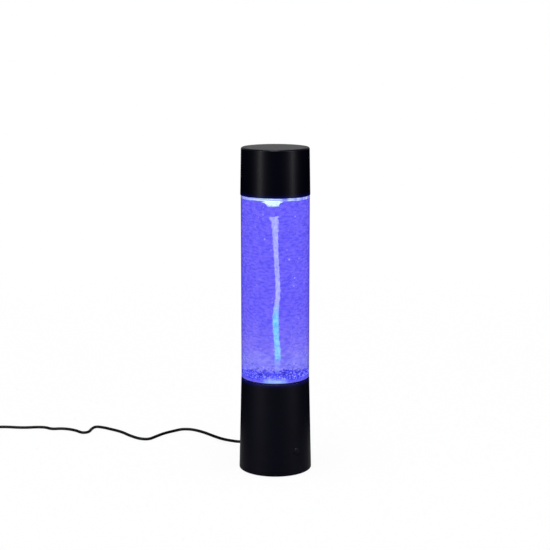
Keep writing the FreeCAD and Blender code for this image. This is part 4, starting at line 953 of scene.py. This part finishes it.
NODE_FINISH: dict[str, Choice] = {
    "base_housing": Plastic.BASE,
    "top_cap": Plastic.CAP,
    "impeller_well": Lit.WELL,
    "well_grille": Lit.WELL,
}


def linked(name: str, data: bpy.types.ID) -> Piece:
    """Puts a new object in the scene at the origin.

    Args:
        name: its name.
        data: its mesh, curve, lamp or camera.

    Returns:
        The object.
    """
    made = bpy.data.objects.new(name, data)
    bpy.context.scene.collection.objects.link(made)
    return made


def placed(name: str, mesh: bpy.types.Mesh, finishes: list[Choice]) -> Piece:
    """Puts a mesh in the scene at the origin with its materials.

    Args:
        name: the piece's name.
        mesh: its mesh, already in place.
        finishes: a finish for each of its material slots.

    Returns:
        The new object.
    """
    mesh.materials.clear()
    for finish in finishes:
        mesh.materials.append(finish.material())
    return linked(name, mesh)


def joined(piece: Piece) -> Piece:
    """Ties a piece to the lamp's body and reports it.

    Args:
        piece: the piece.

    Returns:
        The piece itself.
    """
    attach(piece, "lamp_body")
    log.info("%s rides on the lamp's body", piece.name)
    return piece


def meshed(name: str, bm: bmesh.types.BMesh) -> bpy.types.Mesh:
    """Makes a mesh of a bmesh and frees it.

    Args:
        name: the mesh's name.
        bm: the bmesh.

    Returns:
        The mesh.
    """
    mesh = bpy.data.meshes.new(name)
    bm.to_mesh(mesh)
    bm.free()
    return mesh


def drawn_curve(name: str, kind: str, spots: list[Vector], steps: int = 12) -> bpy.types.Curve:
    """Draws a curve of one spline.

    Args:
        name: the curve's name.
        kind: "POLY", or "NURBS" for a smooth one in space that ends at its end points.
        spots: its points, in metres.
        steps: how finely each stretch is drawn.

    Returns:
        The curve.
    """
    line = bpy.data.curves.new(name, "CURVE")
    spline = line.splines.new(kind)
    spline.points.add(len(spots) - 1)
    for point, spot in zip(spline.points, spots):
        point.co = (*spot, 1)
    spline.resolution_u = steps
    if kind == "NURBS":
        line.dimensions = "3D"
        spline.order_u = 3
        spline.use_endpoint_u = True
    return line


def lathed(name: str, profile: list[Pair], segments: int,
           wave: Callable[[float, float, float], float] | None = None) -> bpy.types.Mesh:
    """Turns an outline round the lamp's axis into a closed skin.

    Args:
        name: the mesh's name.
        profile: radius and height of each corner, starting and ending on the axis, or back at its start.
        segments: faces round the axis.
        wave: rise of a corner, by its radius, height and angle.

    Returns:
        The mesh, smooth but for its sharp corners, with its poles closed.
    """
    bm = bmesh.new()
    rings: list[list[bmesh.types.BMVert]] = []
    for radius, height in profile:
        ring = []
        for i in range(segments if radius > 0 else 1):
            a = 2 * math.pi * i / segments
            rise = wave(radius, height, a) if wave else 0.0
            spot = (radius * math.cos(a), radius * math.sin(a), height + rise)
            ring.append(bm.verts.new([c * MM for c in spot]))
        rings.append(ring)
    if profile[0] == profile[-1]:
        for vert in rings.pop():
            bm.verts.remove(vert)
        rings.append(rings[0])
    for low, high in zip(rings, rings[1:]):
        for i in range(segments):
            j = (i + 1) % segments
            corners = [low[i % len(low)], low[j % len(low)], high[j % len(high)], high[i % len(high)]]
            bm.faces.new(list(dict.fromkeys(corners)))
    bmesh.ops.recalc_face_normals(bm, faces=bm.faces)
    for face in bm.faces:
        face.smooth = True
    for edge in bm.edges:
        edge.smooth = edge.calc_face_angle() < SHARP
    return meshed(name, bm)


class Recipe:
    """A Geometry Nodes tree built in the script, with named inputs."""

    def __init__(self, name: str, inputs: dict[str, str]) -> None:
        """Opens the tree with its inputs and one for the material.

        Args:
            name: the tree's name.
            inputs: input name to socket type.
        """
        self.tree = bpy.data.node_groups.new(name, "GeometryNodeTree")
        face = self.tree.interface
        face.new_socket("Geometry", in_out="INPUT", socket_type="NodeSocketGeometry")
        face.new_socket("Geometry", in_out="OUTPUT", socket_type="NodeSocketGeometry")
        self.keys = {key: face.new_socket(key, in_out="INPUT", socket_type="NodeSocket" + kind).identifier
                     for key, kind in {**inputs, "Material": "Material"}.items()}
        self.given = add(self.tree, "NodeGroupInput").outputs

    def close(self, instances: Node) -> "Recipe":
        """Ends the tree in real geometry with its material.

        Args:
            instances: the node that gives the geometry so far.

        Returns:
            The recipe itself.
        """
        real = add(self.tree, "GeometryNodeRealizeInstances", {0: instances})
        smooth = add(self.tree, "GeometryNodeSetShadeSmooth", {"Geometry": real})
        dressed = add(self.tree, "GeometryNodeSetMaterial",
                      {"Geometry": smooth, "Material": self.given["Material"]})
        add(self.tree, "NodeGroupOutput", {0: dressed})
        return self

    def make(self, name: str, data: bpy.types.ID, finish: Choice, values: dict[str, float]) -> Piece:
        """Runs the tree once and keeps the result as a plain mesh.

        Args:
            name: the piece's name.
            data: the curve or empty mesh that the tree starts from.
            finish: the piece's finish.
            values: input name to its value.

        Returns:
            The finished piece.
        """
        start = linked(name, data)
        modifier = start.modifiers.new(name, "NODES")
        modifier.node_group = self.tree
        for key, value in values.items():
            modifier[self.keys[key]] = value
        modifier[self.keys["Material"]] = finish.material()
        graph = bpy.context.evaluated_depsgraph_get()
        mesh = bpy.data.meshes.new_from_object(start.evaluated_get(graph))
        mesh.name = name
        bpy.data.objects.remove(start)
        return placed(name, mesh, [finish])


def bubble_recipe() -> Recipe:
    """Strews bubbles through a sector of a ring round the axis, small ones more often than large.

    Returns:
        The finished recipe.
    """
    recipe = Recipe("strewn_bubbles", {
        "Count": "Int", "Seed": "Int", "Inner radius": "Float", "Outer radius": "Float", "Bottom": "Float",
        "Top": "Float", "First angle": "Float", "Last angle": "Float", "Smallest": "Float",
        "Largest": "Float"})
    tree, given = recipe.tree, recipe.given
    inner, outer = (add(tree, MATH, {0: given[key], 1: 2.0}, operation="POWER")
                    for key in ("Inner radius", "Outer radius"))
    # Each draw has its own step from the seed. The area is drawn, so that the ring fills evenly
    spans = {0: (inner, outer), 1: (given["First angle"], given["Last angle"]),
             2: (given["Bottom"], given["Top"]), 9: (0.0, 1.0)}
    draws = []
    for step, (low, high) in spans.items():
        seed = add(tree, MATH, {0: given["Seed"], 1: float(step)}, operation="ADD")
        draws.append(add(tree, RANDOM, {2: low, 3: high, "Seed": seed}))
    area, angle, height, share = draws
    radius = add(tree, MATH, {0: area}, operation="SQRT")
    x, y = (add(tree, MATH, {0: radius, 1: add(tree, MATH, {0: angle}, operation=way)},
                operation="MULTIPLY") for way in ("COSINE", "SINE"))
    spot = add(tree, "ShaderNodeCombineXYZ", {0: x, 1: y, 2: height})
    points = add(tree, "GeometryNodePoints", {"Count": given["Count"], "Position": spot})
    ball = add(tree, "GeometryNodeMeshIcoSphere", {"Radius": 1.0, "Subdivisions": 1})
    small = add(tree, MATH, {0: share, 1: 3.0}, operation="POWER")
    span = add(tree, MATH, {0: given["Largest"], 1: given["Smallest"]}, operation="SUBTRACT")
    size = add(tree, MATH, {0: small, 1: span, 2: given["Smallest"]}, operation="MULTIPLY_ADD")
    return recipe.close(
        add(tree, "GeometryNodeInstanceOnPoints", {"Points": points, "Instance": ball, "Scale": size}))


def rope_recipe() -> Recipe:
    """Sweeps a lobed cord of air along a curve, twisted, and as thick as the curve's own radius.

    Returns:
        The finished recipe.
    """
    recipe = Recipe("twisted_air", {"Rings": "Int", "Lobes": "Int", "Waist": "Float", "Turns": "Float"})
    tree, given = recipe.tree, recipe.given
    path = add(tree, "GeometryNodeResampleCurve", {"Curve": given["Geometry"], "Count": given["Rings"]})
    share = add(tree, "GeometryNodeSplineParameter").outputs["Factor"]
    full = add(tree, MATH, {0: share, 1: 2 * math.pi}, operation="MULTIPLY")
    turn = add(tree, MATH, {0: full, 1: given["Turns"]}, operation="MULTIPLY")
    twisted = add(tree, "GeometryNodeSetCurveTilt", {"Curve": path, "Tilt": turn})
    star = add(tree, "GeometryNodeCurveStar",
               {"Points": given["Lobes"], "Inner Radius": given["Waist"], "Outer Radius": 1.0})
    rounded = add(tree, "GeometryNodeCurveSplineType", {0: star}, spline_type="CATMULL_ROM")
    fine = add(tree, "GeometryNodeSetSplineResolution", {0: rounded, "Resolution": 3})
    thick = add(tree, "GeometryNodeInputRadius")
    return recipe.close(add(tree, "GeometryNodeCurveToMesh", {
        "Curve": twisted, "Profile Curve": fine, "Scale": thick, "Fill Caps": True}))


@dataclass(frozen=True)
class Strewn:
    """A set of bubbles in a ring round the axis: radii, heights, own radii, and the arc it fills."""

    skin: Lit
    count: int
    seed: int
    ring: Pair
    heights: Pair
    sizes: Pair
    arc: Pair = (0.0, 2 * math.pi)

    def values(self) -> dict[str, float]:
        """The recipe's inputs for this set.

        Returns:
            Input name to value, lengths in metres.
        """
        named = {"Inner radius": self.ring[0], "Outer radius": self.ring[1], "Bottom": self.heights[0],
                 "Top": self.heights[1], "Smallest": self.sizes[0], "Largest": self.sizes[1]}
        return {"Count": self.count, "Seed": self.seed, "First angle": self.arc[0],
                "Last angle": self.arc[1], **{key: size * MM for key, size in named.items()}}


@dataclass
class WaterColumn:
    """The lit water with its surface, the whirl in it and its bubbles.

    mouth gives radius and height down the whirl's mouth, and whirl gives height, sway to the picture's
    right and radius down its rope. meniscus gives distance from the wall and height over the level.
    """

    radius: float = 31.02
    bottom: float = BED - 0.04
    well_radius: float = 15.83
    well_bottom: float = 98.9
    ring_radius: float = 24.0
    level: float = 283.6
    climb: float = 4.4
    film: float = 0.12
    meniscus: tuple[Pair, ...] = ((0.12, 1.6), (0.5, 0.9), (1.1, 0.45), (2.4, 0.12))
    segments: int = 128
    wall_rows: int = 24
    calm_rings: int = 10
    calm_step: float = 1.5
    mouth: tuple[Pair, ...] = (
        (8.8, 283.4), (8.5, 282.4), (8.2, 281.4), (8.0, 280.6), (7.7, 280.2), (7.0, 279.8), (5.8, 279.5),
        (4.6, 277.0), (4.2, 274.5), (4.0, 272.0), (3.9, 269.0), (3.8, 266.4), (2.0, 265.4))
    whirl: tuple[Spot, ...] = (
        (265.4, -0.9, 3.9), (264.0, -0.8, 3.4), (261.5, -0.5, 2.9), (257.0, -0.2, 2.7), (249.0, 0.0, 2.3),
        (242.5, 0.1, 2.15), (227.5, 0.6, 1.8), (213.5, 1.1, 1.8), (196.5, 1.9, 1.8), (188.5, 2.1, 1.9),
        (180.0, 1.8, 1.8), (174.5, 0.9, 2.0), (164.5, 0.3, 2.3), (151.5, 0.3, 2.5), (139.0, 0.9, 2.0),
        (126.5, 1.9, 2.5), (118.5, 1.9, 2.3), (108.0, 1.2, 1.8), (102.5, 1.4, 1.4))
    mouth_floor: float = 262.0
    swell: float = 0.3
    crests: int = 2
    crest_twist: float = 0.5
    still_edge: float = 1.5
    lean: float = -1.8
    lean_reach: float = 3.0
    lean_ease: float = 4.0
    flare: float = 0.3
    flare_from: float = 277.5
    flare_to: float = 282.5
    depth_sway: float = 1.6
    depth_step: float = 1.1
    steady_points: int = 6
    rings: int = 260
    lobes: int = 3
    waist: float = 0.8
    twists: float = 7.0
    joint_bottom: float = 96.0
    joint_depth: float = 0.5

    def swirl(self, radius: float, height: float, angle: float) -> float:
        """Rise of the surface in two spiral crests, dying out at the wall and the mouth.

        Args:
            radius: distance from the axis.
            height: height of the spot.
            angle: its direction, in radians.

        Returns:
            The rise.
        """
        lip = self.mouth[0][0]
        if height < self.level - 1 or not lip <= radius <= self.radius - self.still_edge:
            return 0.0
        return self.swell * math.sin(self.crests * angle + self.crest_twist * radius)

    def profile(self) -> list[Pair]:
        """Half outline of the water: bed, wall, wet film, surface and mouth.

        Its bottom lies just under the tank floor's top, and under the grille it goes down to the glow
        of the well, so the floor and the grille are seen through it.

        Returns:
            Radius and height of each corner, from the axis and back to it.
        """
        r, top = self.radius, self.level
        bed = [(0.0, self.well_bottom), (self.well_radius, self.well_bottom),
               (self.well_radius, self.bottom), (self.ring_radius, self.bottom)]
        wall = [(r, self.bottom + (top - self.bottom) * i / self.wall_rows)
                for i in range(self.wall_rows + 1)]
        film = [(r, top + self.climb), (r - self.film, top + self.climb)]
        edge = [(r - off, top + rise) for off, rise in self.meniscus]
        calm = [(edge[-1][0] - self.calm_step * (i + 1), top) for i in range(self.calm_rings)]
        return bed + wall + film + edge + calm + list(self.mouth) + [(0.0, self.mouth[-1][1])]

    def tilt(self, mesh: bpy.types.Mesh) -> None:
        """Leans the mouth to the picture's left and flares that side of its lip.

        Args:
            mesh: the water's mesh.
        """
        reach = self.mouth[0][0] + self.lean_reach
        for vert in mesh.vertices:
            out = math.hypot(vert.co.x, vert.co.y) / MM
            if vert.co.z > self.mouth_floor * MM and out < reach:
                lean = self.lean * MM * min(1.0, (reach - out) / self.lean_ease)
                side = (vert.co.x * SIDE[0] + vert.co.y * SIDE[1]) / (out * MM + 1e-9)
                rise = (vert.co.z / MM - self.flare_from) / (self.flare_to - self.flare_from)
                flare = 1 + self.flare * max(0.0, min(1.0, rise)) * max(0.0, -side) ** 2
                vert.co.x = vert.co.x * flare + lean * SIDE[0]
                vert.co.y = vert.co.y * flare + lean * SIDE[1]

    def skin_at(self, centre: Vector) -> Lit:
        """Finish of the water's skin at a face.

        Args:
            centre: the face's centre, in millimetres.

        Returns:
            The finish.
        """
        out = math.hypot(centre.x, centre.y)
        if centre.z < self.well_bottom + 0.1:
            return Lit.BED
        if out > self.radius - self.film - 0.1 and centre.z > self.level:
            return Lit.FILM
        if out < self.radius - 0.1 and centre.z > self.level - 0.5:
            return Lit.SURFACE
        if out < self.mouth[0][0] + 2 and centre.z > self.mouth_floor:
            return Lit.MOUTH
        return Lit.WATER

    def body(self) -> None:
        """Makes the water as one closed skin, which stands for the CAD water."""
        mesh = lathed("water_body", self.profile(), self.segments, self.swirl)
        self.tilt(mesh)
        skins = [Lit.WATER, Lit.BED, Lit.FILM, Lit.SURFACE, Lit.MOUTH]
        piece = placed("water_body", mesh, skins)
        for face in mesh.polygons:
            face.material_index = skins.index(self.skin_at(face.center / MM))
        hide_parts("water_fill")
        joined(piece)

    def joint(self) -> None:
        """Makes the lit edge of the tank floor, with the solvent cement that joins it to the tube."""
        outer, top = self.radius + 0.01, self.bottom + 0.03
        inner = outer - self.joint_depth
        corners = [(inner, self.joint_bottom), (outer, self.joint_bottom), (outer, top), (inner, top)]
        mesh = lathed("floor_joint", corners + corners[:1], self.segments)
        joined(placed("floor_joint", mesh, [Lit.JOINT]))

    def rope(self, name: str, finish: Lit, wider: float, short: int) -> None:
        """Makes one skin of the whirl's air core, swaying down the tank.

        Args:
            name: name of the piece.
            finish: what it is made of.
            wider: times the whirl's own radius.
            short: how many of the lowest points it leaves out.
        """
        way = self.whirl[:len(self.whirl) - short]
        spots = []
        for i, (height, sway, _) in enumerate(way):
            depth = self.depth_sway * math.sin(i * self.depth_step) * min(1.0, i / self.steady_points)
            spot = (SIDE[0] * sway - SIDE[1] * depth, SIDE[1] * sway + SIDE[0] * depth, height)
            spots.append(Vector([c * MM for c in spot]))
        line = drawn_curve("whirl_path", "NURBS", spots, 8)
        for point, (_, _, radius) in zip(line.splines[0].points, way):
            point.radius = radius * wider * MM
        shape = {"Rings": self.rings, "Lobes": self.lobes, "Waist": self.waist, "Turns": self.twists}
        joined(rope_recipe().make(name, line, finish, shape))

    def bubbles(self) -> None:
        """Makes the bubbles in the water, on its wall, in rising strings, on the bed and round it."""
        recipe = bubble_recipe()
        r = self.radius
        near_wall, on_wall = (r - 1.3, r - 0.8), (r - 0.1, r)
        sets = {
            "drifting_bubbles": Strewn(Lit.BUBBLE, 420, 11, (5.0, r - 1.0), (106.0, 279.0), (0.15, 0.5)),
            "wall_bubbles": Strewn(Lit.BUBBLE, 160, 23, (r - 0.02, r + 0.1), (106.0, 280.0), (0.12, 0.35)),
            "bed_bubbles": Strewn(Lit.BEAD, 240, 37, (8.0, r - 0.9), (100.8, 102.4), (0.35, 0.9)),
            # Dark blue bubbles: painted shade on bubbles that face away from the lamps
            "bed_shaded_bubbles": Strewn(Lit.GRIT, 240, 43, (6.0, r - 0.9), (100.8, 102.4), (0.4, 1.0), (4.55, 9.85)),
            "wall_shaded_bubbles": Strewn(Lit.GRIT, 190, 47, near_wall, (101.0, 108.0), (0.3, 0.7)),
            "wall_beads": Strewn(Lit.BEAD, 150, 51, near_wall, (101.0, 107.0), (0.3, 0.65)),
            "left_string": Strewn(Lit.BUBBLE, 8, 53, on_wall, (266.0, 279.0), (0.2, 0.4), (3.66, 3.69)),
            "right_string": Strewn(Lit.BUBBLE, 12, 59, on_wall, (130.0, 160.0), (0.2, 0.4), (4.55, 4.6)),
            "edge_beads": Strewn(Lit.BEAD, 7, 61, (r - 0.2, r), (101.0, 104.5), (0.5, 0.8), (5.45, 5.6)),
        }
        for name, strewn in sets.items():
            piece = recipe.make(name, bpy.data.meshes.new(name), strewn.skin, strewn.values())
            joined(piece)

    def build(self) -> None:
        """Builds the water, the whirl and the bubbles."""
        self.body()
        self.joint()
        self.rope("whirl_rope", Lit.ROPE, 0.9, 2)
        self.rope("whirl_sheath", Lit.SHEATH, 1.15, 0)
        self.bubbles()


@dataclass
class SupplyCord:
    """The thin twin lead from the base's rear to its plug, the spare length in a flat coil."""

    width: float = 3.4
    lobe: float = 1.55
    groove: float = 1.3
    lobe_points: int = 11
    lay: float = 1.6
    second_lay: float = 4.75
    pitch: float = 3.5
    outer: float = 20.5
    turns: int = 3
    samples: int = 8
    lead_in: float = 3.0
    reach: float = 26.0
    run: float = 8.0
    plug_height: float = 4.0
    exit: Spot = (0.0, 37.19, 14.0)
    length: float = 1.06
    # Traced from the photograph and projected onto the table
    route: tuple[Spot, ...] = (
        (0.0, 54.4, 14), (9.4, 77.3, 6.1), (7.9, 90.0, 4.6), (7.8, 102.9, 2.9), (7.8, 116.4, 2.1),
        (8.4, 130.0, 1.6), (8.2, 140.4, 1.6), (6.7, 150.7, 1.6), (3.7, 160.8, 1.6),
        (-4.1, 168.1, 1.6), (-14.8, 167.6, 1.6), (-25.1, 167.2, 1.6), (-35.3, 164.9, 1.6),
        (-45.0, 161.4, 1.6), (-55.7, 157.7, 1.6), (-62.4, 165.6, 1.6), (-64.1, 176.1, 1.6),
        (-64.8, 186.4, 1.6), (-64.3, 196.9, 1.6), (-65.8, 207.2, 1.6), (-68.5, 217.3, 1.6),
        (-71.1, 227.1, 1.6), (-76.7, 237.5, 1.6), (-86.3, 230.7, 1.6), (-93.9, 222.5, 1.6),
        (-101.7, 224.1, 1.6), (-102.3, 235.9, 1.6), (-105.6, 245.6, 1.6), (-111.7, 254.1, 1.6),
        (-121.7, 258.7, 1.6), (-123.7, 269.6, 1.6), (-131.6, 276.5, 1.6), (-141.0, 281.1, 1.6),
        (-149.1, 287.7, 1.6), (-155.8, 295.7, 1.6), (-163.0, 301.8, 1.6), (-174.2, 308.4, 1.6),
        (-183.6, 319.6, 1.6))

    def section(self) -> Piece:
        """Draws the lead's outline: two round cores side by side with a groove between.

        Returns:
            A closed curve that isn't rendered itself.
        """
        centre = self.width / 2 - self.lobe
        arc = [math.radians(-110 + 220 * i / (self.lobe_points - 1)) for i in range(self.lobe_points)]
        right = [(centre + self.lobe * math.cos(a), self.lobe * math.sin(a)) for a in arc]
        outline = right + [(0, self.groove)] + [(-x, -y) for x, y in right] + [(0, -self.groove)]
        line = drawn_curve("lead_section", "POLY", [Vector((x * MM, y * MM, 0)) for x, y in outline])
        line.splines[0].use_cyclic_u = True
        made = linked("lead_section", line)
        made.hide_render = True
        return made

    def coil(self, start: Vector, heading: Vector) -> tuple[list[Vector], Vector, Vector]:
        """Turns wound in on the floor, lifted a layer and wound out again.

        Args:
            start: where the coil begins.
            heading: the way that the lead runs there.

        Returns:
            The points, the last point and the heading at it.
        """
        side = Vector((-heading.y, heading.x, 0))
        place = start + heading * self.lead_in
        radii = [self.outer - self.pitch / 2 * i for i in range(2 * self.turns)]
        steps = [(r, self.lay, self.lay) for r in radii]
        steps += [(radii[-1] - self.pitch / 2, self.lay, self.second_lay)]
        steps += [(r, self.second_lay, self.second_lay) for r in reversed(radii[1:])]
        points = []
        for radius, low, high in steps:
            centre = place + side * radius
            for i in range(self.samples):
                share = (i + 0.5) / self.samples
                a = math.pi * share
                spot = centre - side * radius * math.cos(a) + heading * radius * math.sin(a)
                points.append(Vector((spot.x, spot.y, low + (high - low) * share)))
            place = centre + side * radius
            heading, side = -heading, -side
        quarter = self.samples // 2
        for i in range(quarter):
            a = math.pi / 2 * (i + 0.5) / quarter
            spot = place + side * self.outer * (1 - math.cos(a)) + heading * self.outer * math.sin(a)
            points.append(Vector((spot.x, spot.y, self.second_lay)))
        last = place + (side + heading) * self.outer + side * self.lead_in
        return points, Vector((last.x, last.y, self.second_lay)), side

    def points(self) -> list[Vector]:
        """Lays out the whole lead: the traced stretch, the coil and the run to the plug.

        Returns:
            Its control points, from the base to the plug.
        """
        route = [Vector(self.exit)] + [Vector(spot) for spot in self.route]
        heading = route[-1] - route[-2]
        heading.z = 0
        heading.normalize()
        turns, end, slide = self.coil(route[-1], heading)
        plug = end + slide * self.reach
        plug.z = self.plug_height
        return route + turns + [end, end + slide * self.run, plug - slide * self.run, plug]

    def build(self) -> None:
        line = drawn_curve("twin_lead", "NURBS", [spot * MM for spot in self.points()], 6)
        line.twist_mode = "Z_UP"
        line.bevel_mode = "OBJECT"
        line.bevel_object = self.section()
        line.use_fill_caps = True
        line.materials.append(Plastic.CORD.material())
        piece = linked("twin_lead", line)
        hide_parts("power_cord", "cord_coil", "cord_tail")
        joined(piece)
        tuple(c * MM for c in self.exit)


class Dressing:
    """Puts a finish on every CAD node that stays in view."""

    def build(self) -> None:
        """Assigns each node's finish by its own name, or else by its material slot."""
        for name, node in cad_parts.items():
            for slot in node.material_slots:
                finish = NODE_FINISH.get(name) or SLOT_FINISH[slot.material.name.split(".")[0]]
                slot.material = finish.material()
            log.info("%s dressed", name)


@dataclass(frozen=True)
class SoftBox:
    """An area lamp, in metres: its place round the object, its size, and the height it aims at."""

    azimuth: float
    away: float
    height: float
    size: Pair
    watts: float
    aim: float
    lights_all: bool = False

    def hang(self, name: str) -> None:
        """Hangs the lamp in the scene.

        Args:
            name: its name.
        """
        lamp = bpy.data.lights.new(name, "AREA")
        lamp.shape = "RECTANGLE"
        lamp.size, lamp.size_y = self.size
        lamp.energy = self.watts
        made = linked(name, lamp)
        a = math.radians(self.azimuth)
        made.location = (self.away * math.sin(a), -self.away * math.cos(a), self.height)
        made.rotation_mode = "QUATERNION"
        made.rotation_quaternion = (Vector((0, 0, self.aim)) - made.location).to_track_quat("-Z", "Y")
        made.visible_camera = False
        made.visible_transmission = False
        made.visible_diffuse = self.lights_all


# The strips and the brow box give the upright highlights and the cap's sheen, and only gloss sees them
LAMPS = {
    "left_strip": SoftBox(-88.0, 1.3, 1.07, (0.13, 1.8), 155.0, 1.07),
    "right_strip": SoftBox(20.0, 1.3, 1.07, (0.12, 1.8), 125.0, 1.07),
    "brow_box": SoftBox(-50.0, 0.6, 2.3, (0.5, 1.0), 500.0, 0.3),
    "top_box": SoftBox(-37.0, 0.3, 2.2, (1.2, 1.2), 12.0, 0.3, True),
}


@dataclass
class Studio:
    """Pale floor, plain soft light and the camera at the photograph's place.

    The camera's place is in millimetres. The floor, its fade to white and the cards are in metres.
    """

    camera_place: Spot = (-880.60, -1139.36, 470.07)
    azimuth: float = -37.689
    pitch: float = 10.471
    lens: float = 93.73
    sensor: float = 36.0
    nearest: float = 0.05
    floor_radius: float = 3.0
    fade: Pair = (0.45, 1.2)
    paper: float = 0.12
    paper_glow: float = 0.9
    bounce: float = 0.7
    soft_light: float = 0.6
    card_radius: float = 0.15
    card_height: float = 0.345
    card_from: float = 12.0
    card_to: float = 110.0
    card_steps: int = 24

    def seen_rays(self, tree: Tree) -> Node:
        """Tells rays of the camera, of gloss and of glass from the light on the object.

        Args:
            tree: the tree that asks.

        Returns:
            A node that gives 1 for the former and 0 for the latter.
        """
        path = add(tree, "ShaderNodeLightPath").outputs
        first = add(tree, MATH, {0: path["Is Camera Ray"], 1: path["Is Glossy Ray"]}, operation="MAXIMUM")
        return add(tree, MATH, {0: first, 1: path["Is Transmission Ray"]}, operation="MAXIMUM")

    def world(self) -> None:
        """Sets white behind everything, and a plain soft light on the object."""
        world = bpy.data.worlds.new("white_studio")
        bpy.context.scene.world = world
        tree = cleared(world)
        strength = add(tree, RANGE, {0: self.seen_rays(tree), 3: self.soft_light, 4: 1.0})
        light = add(tree, "ShaderNodeBackground", {"Color": WHITE, "Strength": strength})
        add(tree, "ShaderNodeOutputWorld", {"Surface": light})

    def floor(self) -> None:
        """Lays a white floor that keeps the object's shadow and fades into the white behind."""
        paper = bpy.data.materials.new("white_studio_paper")
        tree = cleared(paper)
        place = add(tree, "ShaderNodeTexCoord").outputs["Object"]
        out = add(tree, VECTOR, {0: place}, operation="LENGTH")
        fade = add(tree, RANGE, {0: out, 1: self.fade[0], 2: self.fade[1]})
        dull = add(tree, "ShaderNodeBsdfDiffuse", {"Color": (*[self.paper] * 3, 1)})
        white = add(tree, "ShaderNodeEmission", {"Color": WHITE, "Strength": self.paper_glow})
        near = add(tree, "ShaderNodeAddShader", {0: dull, 1: white})
        far = add(tree, "ShaderNodeEmission", {"Color": WHITE, "Strength": 1.0})
        shown = add(tree, "ShaderNodeMixShader", {0: fade, 1: near, 2: far})
        card = add(tree, "ShaderNodeBsdfDiffuse", {"Color": (*[self.bounce] * 3, 1)})
        either = add(tree, "ShaderNodeMixShader", {0: self.seen_rays(tree), 1: card, 2: shown})
        add(tree, "ShaderNodeOutputMaterial", {"Surface": either})
        bm = bmesh.new()
        bmesh.ops.create_circle(bm, cap_ends=True, segments=96, radius=self.floor_radius)
        mesh = meshed("studio_floor", bm)
        mesh.materials.append(paper)
        linked("studio_floor", mesh)

    def cards(self) -> None:
        """Sets black cards at both sides, which only gloss shows, as a studio does to edge clear tubes."""
        black = bpy.data.materials.new("black_card")
        tree = cleared(black)
        matt = add(tree, "ShaderNodeBsdfDiffuse", {"Color": BLACK})
        add(tree, "ShaderNodeOutputMaterial", {"Surface": matt})
        for name, side in (("left_card", -1), ("right_card", 1)):
            bm = bmesh.new()
            posts = []
            for i in range(self.card_steps + 1):
                off = self.card_from + (self.card_to - self.card_from) * i / self.card_steps
                a = math.radians(90 + self.azimuth + side * off)
                spot = (self.card_radius * math.cos(a), self.card_radius * math.sin(a))
                posts.append([bm.verts.new((*spot, z)) for z in (MM, self.card_height)])
            for (a0, a1), (b0, b1) in zip(posts, posts[1:]):
                bm.faces.new([a0, b0, b1, a1])
            mesh = meshed(name, bm)
            mesh.materials.append(black)
            card = linked(name, mesh)
            for kind in ("camera", "diffuse", "transmission", "shadow", "volume_scatter"):
                setattr(card, f"visible_{kind}", False)

    def camera(self) -> None:
        """Sets the camera up with the photograph's place and lens."""
        data = bpy.data.cameras.new("photo_camera")
        data.lens = self.lens
        data.sensor_width = self.sensor
        data.clip_start = self.nearest
        made = linked("photo_camera", data)
        made.location = Vector(self.camera_place) * MM
        made.rotation_euler = (math.radians(90 - self.pitch), 0, math.radians(self.azimuth))
        bpy.context.scene.camera = made

    def build(self) -> None:
        """Sets the studio up."""
        bpy.context.scene.view_settings.view_transform = "Standard"
        self.world()
        self.floor()
        for name, lamp in LAMPS.items():
            lamp.hang(name)
        self.cards()
        self.camera()


def main() -> None:
    """Builds the studio, dresses the CAD nodes and adds the pieces that stand for soft or lit ones."""
    logging.basicConfig(level=logging.INFO, format="%(message)s")
    Studio().build()
    SupplyCord().build()
    Dressing().build()
    WaterColumn().build()


if __name__ == "__main__":
    main()
